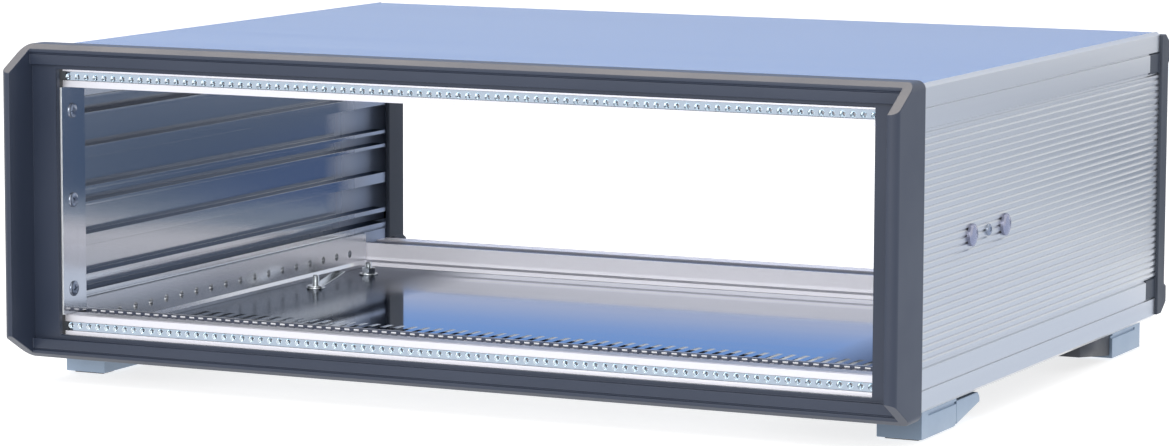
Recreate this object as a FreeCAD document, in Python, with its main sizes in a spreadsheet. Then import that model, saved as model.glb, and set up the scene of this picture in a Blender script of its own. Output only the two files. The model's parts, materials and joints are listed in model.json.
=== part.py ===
"""Subrack card cage in a desktop case, open at the front and at the rear.

The pieces are drawn in one drawing frame: X to the right, Y to the rear, Z up,
with Y = 0 at the front plane of the rails and Z = 0 halfway between them.
Every piece then gets the same Placement, which stands the case on its feet with
the origin under its middle.
"""
import FreeCAD, Part
import os
import Sketcher

# Driving dimensions in millimetres, and counts. Heights marked "level" are
# measured from the middle of the opening, depths marked "station" from Y = 0.
DIMENSIONS = [
    # Card cage
    ("modules", 84),
    ("module_pitch", 5.08),
    ("row_spacing", 122.5),        # between the two rows of tapped holes
    ("row_inset", 5.05),           # hole row to the rail's inner face
    ("rail_height", 12.7),
    ("rail_depth", 26.4),
    ("rail_span", 339.4),          # front face of front rail to rear face of rear rail
    ("rail_floor", 2.2),           # metal under the slotted band
    ("rail_front_wall", 6.0),      # solid part behind the front face
    ("rail_back_wall", 3.9),
    ("rail_line_start", 1.3),      # fine groove along the rail's inner face
    ("rail_line_width", 1.3),
    ("rail_line_depth", 0.4),
    ("band_start", 11.4),          # sunk band that holds the guide slots
    ("band_width", 10.3),
    ("band_depth", 0.8),
    ("guide_slot_width", 2.7),
    ("guide_slot_length", 4.0),
    ("guide_slot_station", 17.4),
    ("foot_lip_height", 3.4),      # sloped lip at the outer edge of rails and strips
    ("foot_lip_proud", 1.2),
    ("insert_height", 4.1),
    ("insert_above_row", 1.65),    # insert's inner edge to the hole row
    ("insert_depth", 2.7),
    ("insert_set_back", 0.3),
    ("insert_hole", 2.5),
    ("fit_gap", 0.2),
    ("end_block_reach", 4.1),      # its plate outward of the rail's end
    ("end_block_front", 2.7),
    ("end_block_depth", 19.0),
    # Side panels
    ("side_edge", 6.0),            # above the rails' outer faces
    ("side_depth", 13.4),
    ("side_overhang", 16.0),       # the shell's rear end behind the rear rail
    ("bars_set_back", 17.4),       # the inner bars end before the shell
    ("side_wall", 5.3),
    ("slot_wall", 3.3),
    ("shoulder_width", 1.9),
    ("shoulder_round", 1.7),
    ("middle_rib_level", 2.9),
    ("middle_rib_width", 1.9),
    ("bar_level", 19.0),
    ("bar_width", 5.7),
    ("slot_width", 5.9),
    ("slot_lip", 2.4),
    ("chamber_inset", 5.6),        # the chamber starts before the rail's inner face
    ("chamber_gap", 1.0),          # fine groove between slot lip and chamber
    ("chamber_gap_depth", 1.1),
    ("chamber_inner_wall", 2.6),
    ("chamber_outer_wall", 2.8),
    ("rib_count", 34),
    ("rib_margin", 21.3),          # from the panel's edge to the ribbed field
    ("rib_groove_width", 1.3),
    ("rib_groove_depth", 0.7),
    ("field_groove_width", 2.2),
    ("field_groove_depth", 1.1),
    ("line_groove_inset", 10.8),
    ("line_groove_width", 0.9),
    ("line_groove_depth", 0.8),
    ("notch_length", 15.4),
    # Covers
    ("sheet", 1.5),
    ("cover_proud", 0.1),
    ("cover_front", 2.8),          # the sheets' front edge, forward of Y = 0
    ("cover_set_back", 5.9),       # their rear edge, before the shell's end
    ("cover_fold", 5.5),
    ("plate_gap", 0.1),
    ("plate_edge", 1.7),           # how far the plate runs into the side panels
    ("plate_groove", 1.9),
    ("vent_margin", 10.0),         # least metal between the last vent and the side panel
    ("vent_pitch", 7.1),
    ("vent_width", 3.0),
    ("vent_set_back", 6.4),        # behind the front rail
    ("vent_length", 84.5),
    # Front bezel
    ("case_gap", 0.2),
    ("bezel_side_wall", 3.0),
    ("bezel_top_wall", 2.1),
    ("bezel_front", 27.1),
    ("bezel_back", 10.5),
    ("bezel_corner", 4.0),
    ("rim_width", 5.1),
    ("bar_front", 8.5),            # front face of the cross bars, forward of Y = 0
    ("lip_front", 6.0),
    ("lip_back", 3.0),
    ("lip_height", 2.1),
    ("window_over_rail", 9.1),
    ("window_clear", 0.25),        # bezel window outside the panel width
    ("bevel_run", 22.8),
    ("bevel_drop", 12.8),
    ("bezel_groove_inset", 4.4),
    ("bezel_groove_width", 0.8),
    ("bezel_groove_depth", 0.8),
    # Strips and flanges
    ("strip_thickness", 1.9),
    ("strip_lip", 1.6),
    ("strip_hole", 4.1),
    ("strip_hole_pitch", 15.1),
    ("strip_hole_start", 51.0),
    ("strip_hole_margin", 15.0),   # least length of strip behind the last hole
    ("strip_hole_inset", 8.7),     # above the rails' outer faces
    ("flange_thickness", 2.5),
    ("flange_front", 2.0),
    ("flange_width", 21.0),
    ("flange_hole_station", 7.5),
    ("flange_hole_inset", 12.2),   # from the rail's inner face
    ("flange_hole", 4.2),
    ("flange_head", 7.6),
    ("flange_head_height", 0.9),
    ("flange_screw", 4.0),
    ("flange_screw_length", 6.5),
    # Rear trims
    ("trim_depth", 11.2),
    ("trim_ear_depth", 3.4),
    ("trim_ear_height", 13.7),
    ("trim_inset", 1.7),           # below the side panel's edge
    ("trim_bevel_run", 7.8),
    ("trim_bevel_drop", 5.3),
    ("trim_proud", 1.4),
    ("trim_wall", 2.6),
    ("trim_leg", 17.0),
    ("trim_set_back", 6.0),        # of the hood behind the leg's inner face
    ("trim_web", 1.5),
    ("trim_rebate", 1.0),
    # Fittings on the side panels
    ("plug_spacing", 45.0),
    ("plug_centre", 99.5),
    ("plug_head", 10.6),
    ("plug_rim", 0.8),
    ("plug_dome", 1.0),
    ("plug_crown", 7.6),
    ("plug_stem", 8.0),
    ("side_screw_head", 5.7),
    ("side_screw_height", 0.9),
    ("side_screw_stem", 3.0),
    ("fitting_depth", 4.0),
    # Feet
    ("foot_width", 22.1),
    ("foot_inset", 2.0),           # foot's outer side inside the case's outer face
    ("foot_height", 12.8),
    ("foot_length", 44.7),
    ("front_foot_station", 21.6),
    ("rear_foot_set_back", 17.9),  # its rear end, before the shell's end
    ("foot_tenon_wall", 0.3),
    ("foot_shadow_start", 8.4),
    ("foot_shadow_level", 1.4),
    ("foot_shadow_height", 1.2),
    ("foot_shadow_depth", 1.0),
    ("pad_width", 16.5),
    ("pad_length", 10.0),
    ("pad_inset", 3.4),
    ("pad_recess", 1.5),
    ("pad_stand", 1.0),
    ("foot_screw_inset", 5.3),
    ("foot_screw_station", 25.4),
    ("foot_screw", 4.0),
    ("foot_screw_head", 7.0),
    ("foot_screw_head_height", 2.4),
    ("foot_screw_bore", 8.0),
    ("foot_screw_sink", 8.0),
    ("foot_screw_grip", 4.8),
    ("hinge_round", 2.7),          # hinge centre to the block's rear and bottom faces
    ("hinge_gap", 0.3),
    ("hinge_pin", 2.4),
    ("hinge_pin_length", 19.6),
    ("hinge_running", 0.05),
    ("knuckle", 5.0),
    ("tongue_width", 10.0),
    ("tongue_height", 2.1),
    ("tail_length", 30.7),
    ("tail_top_gap", 1.2),
    ("tail_tip_height", 4.8),
    ("tail_tip_round", 2.6),
    ("tail_rise", 0.6),            # its underside above the block's at the seam
    ("wedge_length", 47.6),
    ("wedge_width", 11.0),
    ("wedge_inset", 2.3),
    ("wedge_tip", 2.5),
    ("wedge_root", 7.8),
    # Earth stud and bolt on the plate
    ("stud_inset", 20.9),          # from the left side panel's inner face
    ("stud_before_rail", 119.8),   # before the rear rail's rear face
    ("stud_diameter", 4.0),
    ("stud_height", 7.3),
    ("washer_diameter", 10.2),
    ("washer_thickness", 0.8),
    ("tab_width", 6.3),
    ("tab_reach", 22.0),
    ("tab_rise", 4.5),
    ("bolt_inset", 19.9),
    ("bolt_before_rail", 58.4),
    ("bolt_height", 7.0),
    ("nut_flats", 7.0),
    ("nut_height", 3.2),
]

doc = FreeCAD.newDocument("CardCage")
sheet = doc.addObject("Spreadsheet::Sheet", "sizes")
for row, (alias, number) in enumerate(DIMENSIONS, start=1):
    sheet.set(f"A{row}", str(number))
    sheet.setAlias(f"A{row}", alias)
doc.recompute()

# Derived planes of the drawing frame, as expressions in the sheet's names.
PANEL_X = "(sizes.modules * sizes.module_pitch / 2)"
INSIDE = "((sizes.modules + 1) * sizes.module_pitch / 2)"
OUTSIDE = f"({INSIDE} + sizes.side_depth)"
WALL_X = f"({OUTSIDE} - sizes.side_wall)"
ROW_LEVEL = "(sizes.row_spacing / 2)"
RAIL_IN = f"({ROW_LEVEL} - sizes.row_inset)"
RAIL_OUT = f"({RAIL_IN} + sizes.rail_height)"
RAIL_BACK = "(sizes.rail_depth + sizes.foot_lip_proud)"
SIDE_TOP = f"({RAIL_OUT} + sizes.side_edge)"
SIDE_LENGTH = "(sizes.rail_span + sizes.side_overhang)"
COVER_TOP = f"({SIDE_TOP} + sizes.cover_proud)"
COVER_REAR = f"({SIDE_LENGTH} - sizes.cover_set_back)"
REBATE = f"({COVER_TOP} - sizes.sheet)"
CHAMBER = f"({RAIL_IN} - sizes.chamber_inset)"
SLOT_LEVEL = f"({CHAMBER} - sizes.chamber_gap - sizes.slot_lip - sizes.slot_width)"
RIB_EDGE = f"({SIDE_TOP} - sizes.rib_margin)"
RIB_PITCH = f"(2 * {RIB_EDGE} / sizes.rib_count)"
LINE_LEVEL = f"({SIDE_TOP} - sizes.line_groove_inset)"
INSERT_IN = f"({ROW_LEVEL} - sizes.insert_above_row)"
INSERT_OUT = f"({INSERT_IN} + sizes.insert_height)"
PLATE_TOP = f"({RAIL_OUT} + sizes.plate_gap)"
PLATE_BASE = f"({PLATE_TOP} + sizes.sheet)"
STRIP_X = f"({INSIDE} - sizes.strip_thickness)"
FRONT_RAIL_X = f"({STRIP_X} - sizes.fit_gap / 2)"
REAR_RAIL_X = f"({INSIDE} - sizes.fit_gap / 2)"
FLANGE_X = f"({INSIDE} - sizes.flange_thickness)"
BEZEL_X = f"({OUTSIDE} + sizes.case_gap + sizes.bezel_side_wall)"
BEZEL_Z = f"({SIDE_TOP} + sizes.case_gap + sizes.bezel_top_wall)"
RIM_IN = f"({BEZEL_X} - sizes.rim_width)"
WINDOW_X = f"({PANEL_X} + sizes.window_clear)"
WINDOW_Z = f"({RAIL_IN} + sizes.window_over_rail)"
SEAT_LEVEL = f"({COVER_TOP} + sizes.foot_height)"
FLOOR_LEVEL = f"({SEAT_LEVEL} + sizes.pad_stand)"
FOOT_OUT = f"({OUTSIDE} - sizes.foot_inset)"
FOOT_IN = f"({FOOT_OUT} - sizes.foot_width)"
FOOT_MID = f"({FOOT_OUT} - sizes.foot_width / 2)"
STRIP_END = f"(sizes.rail_span - {RAIL_BACK} - sizes.fit_gap)"
REAR_FOOT_END = f"({SIDE_LENGTH} - sizes.rear_foot_set_back)"
TRIM_BACK = f"({SIDE_LENGTH} + sizes.trim_depth)"
TRIM_END = f"({TRIM_BACK} + sizes.trim_ear_depth)"
TRIM_Z = f"({SIDE_TOP} - sizes.trim_inset)"
TRIM_OUT = f"({OUTSIDE} + sizes.trim_proud)"
TRIM_IN = f"({FLANGE_X} + sizes.trim_set_back)"

LEFT, RIGHT = -1, 1
BOTTOM, TOP = -1, 1


def value(expression):
    """Number that an expression in the sheet's names gives now."""
    return float(sheet.evalExpression(expression))


def signed(sign, expression):
    return expression if sign > 0 else f"-({expression})"


def span(sign, near, far):
    """Interval from near to far, mirrored through zero for a negative sign."""
    return (near, far) if sign > 0 else (f"-({far})", f"-({near})")


def bind(item, **expressions):
    for name, expression in expressions.items():
        item.setExpression(name, expression)


def stand(item, label):
    """Names a finished sub-part and sets it in the case's own frame."""
    item.Label = label
    item.setExpression("Placement.Base.y", f"(sizes.bezel_front - {TRIM_END}) / 2")
    item.setExpression("Placement.Base.z", FLOOR_LEVEL)
    NODES.append(item)
    return item


NODES = []


# Sketches

def sketch_on(body, name, role, offset):
    sketch = body.newObject("Sketcher::SketchObject", name)
    plane = next(f for f in body.Origin.OriginFeatures if f.Role == role)
    sketch.AttachmentSupport = (plane, "")
    sketch.MapMode = "FlatFace"
    sketch.setExpression("AttachmentOffset.Base.z", offset)
    return sketch


def across_sketch(body, name, station):
    """Sketch of X and Z at a station of Y."""
    return sketch_on(body, name, "XZ_Plane", f"-({station})")


def side_sketch(body, name, across):
    """Sketch of Y and Z at an X."""
    return sketch_on(body, name, "YZ_Plane", across)


def plan_sketch(body, name, level):
    """Sketch of X and Y at a Z."""
    return sketch_on(body, name, "XY_Plane", level)


def locate(sketch, item, vertex, first, second):
    """Ties one vertex to the sketch's origin by two bound distances."""
    ties = [
        Sketcher.Constraint("DistanceX", -1, 1, item, vertex, value(first)),
        Sketcher.Constraint("DistanceY", -1, 1, item, vertex, value(second)),
    ]
    numbers = sketch.addConstraint(ties)
    for number, expression in zip(numbers, (first, second)):
        sketch.setExpression(f"Constraints[{number}]", expression)


def outline(sketch, points):
    """Closed outline of straight lines through pairs of expressions."""
    base = sketch.GeometryCount
    count = len(points)
    corners = [FreeCAD.Vector(value(a), value(b), 0) for a, b in points]
    sketch.addGeometry([Part.LineSegment(corners[i], corners[(i + 1) % count]) for i in range(count)])
    joins = [Sketcher.Constraint("Coincident", base + i, 2, base + (i + 1) % count, 1) for i in range(count)]
    sketch.addConstraint(joins)
    for i, (first, second) in enumerate(points):
        locate(sketch, base + i, 1, first, second)


def rectangle(sketch, first, second):
    outline(sketch, [(first[0], second[0]), (first[1], second[0]),
                     (first[1], second[1]), (first[0], second[1])])


def circle(sketch, first, second, diameter):
    number = sketch.GeometryCount
    centre = FreeCAD.Vector(value(first), value(second), 0)
    sketch.addGeometry(Part.Circle(centre, FreeCAD.Vector(0, 0, 1), value(diameter) / 2))
    locate(sketch, number, 3, first, second)
    size = sketch.addConstraint(Sketcher.Constraint("Diameter", number, value(diameter)))
    sketch.setExpression(f"Constraints[{size}]", diameter)


# Features

def body_for(label):
    return stand(doc.addObject("PartDesign::Body", label), label)


def pad(body, sketch, length, reverse=False, symmetric=False):
    feature = body.newObject("PartDesign::Pad", f"{sketch.Name}_pad")
    feature.Profile = sketch
    feature.Reversed = reverse
    if symmetric:
        feature.SideType = "Symmetric"
    bind(feature, Length=length)
    doc.recompute()
    return feature


def pocket(body, sketch, depth=None, reverse=False, symmetric=False):
    """Cuts the sketch by a depth, or right through, and proves that it cut."""
    before = body.Shape.Volume
    feature = body.newObject("PartDesign::Pocket", f"{sketch.Name}_cut")
    feature.Profile = sketch
    feature.Reversed = reverse
    if symmetric:
        feature.SideType = "Symmetric"
    if depth is None:
        feature.Type = "ThroughAll"
    else:
        bind(feature, Length=depth)
    doc.recompute()
    if body.Shape.Volume >= before:
        raise RuntimeError(f"{sketch.Name} cuts nothing")
    return feature


def repeat(body, feature, axis, pitch, count):
    """Row of copies of a cut along an axis of its own sketch."""
    pattern = body.newObject("PartDesign::LinearPattern", f"{feature.Name}_row")
    pattern.Originals = [feature]
    pattern.Direction = (feature.Profile[0], [axis])
    pattern.Mode = "Spacing"
    bind(pattern, Offset=pitch, Occurrences=count)
    body.Tip = pattern
    doc.recompute()
    return pattern


def round_edges(body, feature, radius, wanted):
    """Fillets the straight edges of a feature whose two ends pass the test."""
    names = []
    for number, edge in enumerate(feature.Shape.Edges, start=1):
        if all(wanted(vertex.Point) for vertex in edge.Vertexes):
            names.append(f"Edge{number}")
    fillet = body.newObject("PartDesign::Fillet", f"{feature.Name}_round")
    fillet.Base = (feature, names)
    bind(fillet, Radius=radius)
    doc.recompute()
    return fillet


def near(first, second):
    return abs(first - second) < 0.01


# Primitives

def block(name, across, station, level):
    item = doc.addObject("Part::Box", name)
    for axis, (low, _) in zip("xyz", (across, station, level)):
        item.setExpression(f"Placement.Base.{axis}", low)
    for size, (low, high) in zip(("Length", "Width", "Height"), (across, station, level)):
        item.setExpression(size, f"({high}) - ({low})")
    return item


AXES = {
    "+X": FreeCAD.Rotation(FreeCAD.Vector(0, 1, 0), 90),
    "-X": FreeCAD.Rotation(FreeCAD.Vector(0, 1, 0), -90),
    "+Y": FreeCAD.Rotation(FreeCAD.Vector(1, 0, 0), -90),
    "+Z": FreeCAD.Rotation(),
}


def turned(item, axis, base):
    item.Placement = FreeCAD.Placement(FreeCAD.Vector(), AXES[axis])
    for name, expression in zip("xyz", base):
        item.setExpression(f"Placement.Base.{name}", expression)
    return item


def cylinder(name, axis, base, diameter, length):
    item = doc.addObject("Part::Cylinder", name)
    bind(item, Radius=f"({diameter}) / 2", Height=length)
    return turned(item, axis, base)


def cone(name, axis, base, wide, narrow, length):
    item = doc.addObject("Part::Cone", name)
    bind(item, Radius1=f"({wide}) / 2", Radius2=f"({narrow}) / 2", Height=length)
    return turned(item, axis, base)


def fuse(name, parts):
    item = doc.addObject("Part::MultiFuse", name)
    item.Shapes = parts
    return item


def cut(name, base, tool):
    item = doc.addObject("Part::Cut", name)
    item.Base = base
    item.Tool = tool
    return item


def group(label, parts):
    """One node of separate like solids."""
    item = doc.addObject("Part::Compound", label)
    item.Links = parts
    return stand(item, label)


# Front bezel

def front_bezel():
    """One dark frame: side rims stand forward of the cross bars, and one oblique
    plane at the top and one at the bottom cut rims and bars alike."""
    body = body_for("front_bezel")
    face = across_sketch(body, "bezel_face", "-sizes.bezel_front")
    rectangle(face, (f"-{BEZEL_X}", BEZEL_X), (f"-{BEZEL_Z}", BEZEL_Z))
    frame = pad(body, face, "sizes.bezel_front + sizes.bezel_back", reverse=True)
    half_width, half_height = value(BEZEL_X), value(BEZEL_Z)
    depth_edges = round_edges(
        body, frame, "sizes.bezel_corner",
        lambda p: near(abs(p.x), half_width) and near(abs(p.z), half_height))
    body.Tip = depth_edges

    recess = across_sketch(body, "between_rims", "-sizes.bezel_front")
    rectangle(recess, (f"-{RIM_IN}", RIM_IN), (f"-{BEZEL_Z} - 1", f"{BEZEL_Z} + 1"))
    pocket(body, recess, "sizes.bezel_front - sizes.bar_front")

    for sign, name in ((TOP, "bevel_top"), (BOTTOM, "bevel_bottom")):
        bevel = side_sketch(body, name, "0")
        front, edge = "-sizes.bezel_front - 1", signed(sign, f"{BEZEL_Z} + 1")
        slope = "(sizes.bevel_drop / sizes.bevel_run)"
        outline(bevel, [
            (front, signed(sign, f"{BEZEL_Z} - sizes.bevel_drop - {slope}")),
            (front, edge),
            (f"-sizes.bezel_front + sizes.bevel_run + 1 / {slope}", edge),
        ])
        pocket(body, bevel, symmetric=True)

    seat = across_sketch(body, "panel_seat", "-sizes.bar_front")
    seat_z = f"({WINDOW_Z} + sizes.lip_height)"
    rectangle(seat, (f"-{RIM_IN}", RIM_IN), (f"-{seat_z}", seat_z))
    pocket(body, seat, "sizes.bar_front - sizes.lip_front")

    window = across_sketch(body, "window", "-sizes.lip_front")
    rectangle(window, (f"-{WINDOW_X}", WINDOW_X), (f"-{WINDOW_Z}", WINDOW_Z))
    pocket(body, window)

    socket = across_sketch(body, "case_socket", "-sizes.lip_back")
    socket_x, socket_z = f"({OUTSIDE} + sizes.case_gap)", f"({SIDE_TOP} + sizes.case_gap)"
    rectangle(socket, (f"-{socket_x}", socket_x), (f"-{socket_z}", socket_z))
    pocket(body, socket)

    for sign, name in ((TOP, "line_top"), (BOTTOM, "line_bottom")):
        line = across_sketch(body, name, "-sizes.bar_front")
        low = f"{BEZEL_Z} - sizes.bezel_groove_inset - sizes.bezel_groove_width / 2"
        high = f"{BEZEL_Z} - sizes.bezel_groove_inset + sizes.bezel_groove_width / 2"
        rectangle(line, (f"-{RIM_IN}", RIM_IN), span(sign, low, high))
        pocket(body, line, "sizes.bezel_groove_depth")


# Side panels

def side_section(sign):
    """Half of the extrusion's section above the middle, from outside to inside."""
    groove_x = f"{INSIDE} + sizes.plate_groove"
    gap_x = f"{INSIDE} + sizes.chamber_gap_depth"
    slot_x = f"({OUTSIDE} - sizes.slot_wall)"
    shoulder_x = f"{OUTSIDE} - sizes.shoulder_width"
    lip_high = f"{SLOT_LEVEL} + sizes.slot_width + sizes.slot_lip"
    return [
        (OUTSIDE, f"{SIDE_TOP} - sizes.shoulder_round"),
        (f"{OUTSIDE} - sizes.shoulder_round", SIDE_TOP),
        (shoulder_x, SIDE_TOP),
        (shoulder_x, REBATE),
        (INSIDE, REBATE),
        (INSIDE, f"{PLATE_BASE} + sizes.fit_gap / 2"),
        (groove_x, f"{PLATE_BASE} + sizes.fit_gap / 2"),
        (groove_x, f"{PLATE_TOP} - sizes.fit_gap / 2"),
        (INSIDE, f"{PLATE_TOP} - sizes.fit_gap / 2"),
        (INSIDE, CHAMBER),
        (gap_x, CHAMBER),
        (gap_x, lip_high),
        (INSIDE, lip_high),
        (INSIDE, f"{SLOT_LEVEL} + sizes.slot_width"),
        (slot_x, f"{SLOT_LEVEL} + sizes.slot_width"),
        (slot_x, SLOT_LEVEL),
        (INSIDE, SLOT_LEVEL),
        (INSIDE, f"{SLOT_LEVEL} - sizes.slot_lip"),
        (WALL_X, f"{SLOT_LEVEL} - sizes.slot_lip"),
        (WALL_X, "sizes.bar_level + sizes.bar_width"),
        (INSIDE, "sizes.bar_level + sizes.bar_width"),
        (INSIDE, "sizes.bar_level"),
        (WALL_X, "sizes.bar_level"),
        (WALL_X, "sizes.middle_rib_level + sizes.middle_rib_width"),
        (INSIDE, "sizes.middle_rib_level + sizes.middle_rib_width"),
        (INSIDE, "sizes.middle_rib_level"),
        (WALL_X, "sizes.middle_rib_level"),
    ]


def groove(body, name, sign, level, width, depth, shape):
    """Groove along the outer face: a vee or a flat-bottomed one."""
    face = across_sketch(body, name, "-1")
    low, high = f"{level} - {width} / 2", f"{level} + {width} / 2"
    outer, inner = f"{OUTSIDE} + 1", f"{OUTSIDE} - {depth}"
    if shape == "vee":
        bottom = [(inner, level)]
    else:
        bottom = [(inner, f"{level} + {width} / 4"), (inner, f"{level} - {width} / 4")]
    points = [(OUTSIDE, low), (outer, low), (outer, high), (OUTSIDE, high)] + bottom
    outline(face, [(signed(sign, x), z) for x, z in points])
    return pocket(body, face)


def side_panel(label, sign):
    """Extrusion with a ribbed field outside, and bars, slots and two closed
    chambers inside; its inner half ends before the outer shell does."""
    body = body_for(label)
    section = across_sketch(body, f"{label}_section", "0")
    upper = side_section(sign)
    whole = upper + [(x, f"-({z})") for x, z in reversed(upper)]
    outline(section, [(signed(sign, x), z) for x, z in whole])
    pad(body, section, SIDE_LENGTH, reverse=True)

    chambers = across_sketch(body, f"{label}_chambers", "0")
    chamber_x = span(sign, f"{INSIDE} + sizes.chamber_inner_wall", f"{OUTSIDE} - sizes.chamber_outer_wall")
    for level in (TOP, BOTTOM):
        rectangle(chambers, chamber_x, span(
            level, f"{CHAMBER} + sizes.chamber_inner_wall",
            f"{PLATE_TOP} - sizes.chamber_outer_wall"))
    pocket(body, chambers)

    step = across_sketch(body, f"{label}_rear_step", f"({SIDE_LENGTH} - sizes.bars_set_back)")
    step_z = f"({PLATE_TOP} - sizes.chamber_outer_wall)"
    rectangle(step, span(sign, f"{INSIDE} - 1", WALL_X), (f"-{step_z}", step_z))
    pocket(body, step)

    first = groove(body, f"{label}_rib", sign, f"({RIB_PITCH} - {RIB_EDGE})",
                   "sizes.rib_groove_width", "sizes.rib_groove_depth", "vee")
    repeat(body, first, "V_Axis", RIB_PITCH, "sizes.rib_count - 1")
    for level, word in ((TOP, "top"), (BOTTOM, "bottom")):
        groove(body, f"{label}_field_{word}", sign, signed(level, RIB_EDGE),
               "sizes.field_groove_width", "sizes.field_groove_depth", "flat")
        groove(body, f"{label}_line_{word}", sign, signed(level, LINE_LEVEL),
               "sizes.line_groove_width", "sizes.line_groove_depth", "flat")

    notches = side_sketch(body, f"{label}_notches", signed(sign, f"({OUTSIDE} + 1)"))
    for level in (TOP, BOTTOM):
        rectangle(notches, (f"{SIDE_LENGTH} - sizes.notch_length", f"{SIDE_LENGTH} + 1"),
                  span(level, RIB_EDGE, LINE_LEVEL))
    pocket(body, notches, "sizes.chamber_outer_wall + 1.5", reverse=(sign < 0))

    holes = side_sketch(body, f"{label}_plug_holes", signed(sign, f"({OUTSIDE} + 1)"))
    for way in ("-", "+"):
        circle(holes, f"sizes.plug_centre {way} sizes.plug_spacing / 2", "0",
               "sizes.plug_stem + sizes.fit_gap / 2")
    circle(holes, "sizes.plug_centre", "0", "sizes.side_screw_stem + sizes.fit_gap")
    pocket(body, holes, "sizes.fitting_depth + sizes.fit_gap + 1", reverse=(sign < 0))

    pilots = plan_sketch(body, f"{label}_foot_pilots", f"-({SIDE_TOP} + 1)")
    for station in FOOT_SCREW_STATIONS:
        circle(pilots, signed(sign, FOOT_SCREW_X), station, "sizes.foot_screw + sizes.fit_gap / 2")
    pocket(body, pilots, f"{SIDE_TOP} + 1 - {REBATE} + sizes.foot_screw_grip + sizes.fit_gap", reverse=True)


FOOT_SCREW_X = f"({FOOT_OUT} - sizes.foot_screw_inset)"
FOOT_SCREW_STATIONS = (
    "(sizes.front_foot_station + sizes.foot_screw_station)",
    f"({REAR_FOOT_END} - sizes.foot_screw_station)",
)


# Covers

def top_cover():
    """Sheet that lies in the side panels' rebates, folded down at both ends."""
    body = body_for("top_cover")
    edge = f"({OUTSIDE} - sizes.shoulder_width - sizes.fit_gap)"
    sheet_plan = plan_sketch(body, "top_sheet", REBATE)
    rectangle(sheet_plan, (f"-{edge}", edge), ("-sizes.cover_front", COVER_REAR))
    pad(body, sheet_plan, "sizes.sheet")
    folds = plan_sketch(body, "top_folds", COVER_TOP)
    inner = f"({INSIDE} - 2 * sizes.fit_gap)"
    rectangle(folds, (f"-{edge}", edge), ("-sizes.cover_front", "-sizes.cover_front + sizes.sheet"))
    rectangle(folds, (f"-{inner}", inner), (f"{COVER_REAR} - sizes.sheet", COVER_REAR))
    pad(body, folds, "sizes.cover_fold", reverse=True)


def bottom_plate():
    """Sheet under the rails, held in the side panels' grooves, with vent slots."""
    body = body_for("bottom_plate")
    edge = f"({INSIDE} + sizes.plate_edge)"
    inner = f"({INSIDE} - 2 * sizes.fit_gap)"
    sheet_plan = plan_sketch(body, "bottom_sheet", f"-{PLATE_BASE}")
    rectangle(sheet_plan, (f"-{edge}", edge), ("-sizes.cover_front", COVER_REAR))
    pad(body, sheet_plan, "sizes.sheet")
    folds = plan_sketch(body, "bottom_folds", f"-{PLATE_TOP}")
    rectangle(folds, (f"-{inner}", inner), ("-sizes.cover_front", "-sizes.cover_front + sizes.sheet"))
    rectangle(folds, (f"-{inner}", inner), (f"{COVER_REAR} - sizes.sheet", COVER_REAR))
    pad(body, folds, f"{SIDE_TOP} - {PLATE_TOP}", reverse=True)
    vent = plan_sketch(body, "vent", f"-{PLATE_TOP}")
    count = f"(floor(2 * ({INSIDE} - sizes.vent_margin - sizes.vent_width / 2) / sizes.vent_pitch) + 1)"
    start = f"(-({count} - 1) / 2 * sizes.vent_pitch)"
    rectangle(vent, (f"{start} - sizes.vent_width / 2", f"{start} + sizes.vent_width / 2"),
              (f"{RAIL_BACK} + sizes.vent_set_back", f"{RAIL_BACK} + sizes.vent_set_back + sizes.vent_length"))
    first = pocket(body, vent, "sizes.sheet + 0.5")
    repeat(body, first, "H_Axis", "sizes.vent_pitch", count)


# Rails and inserts

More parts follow.
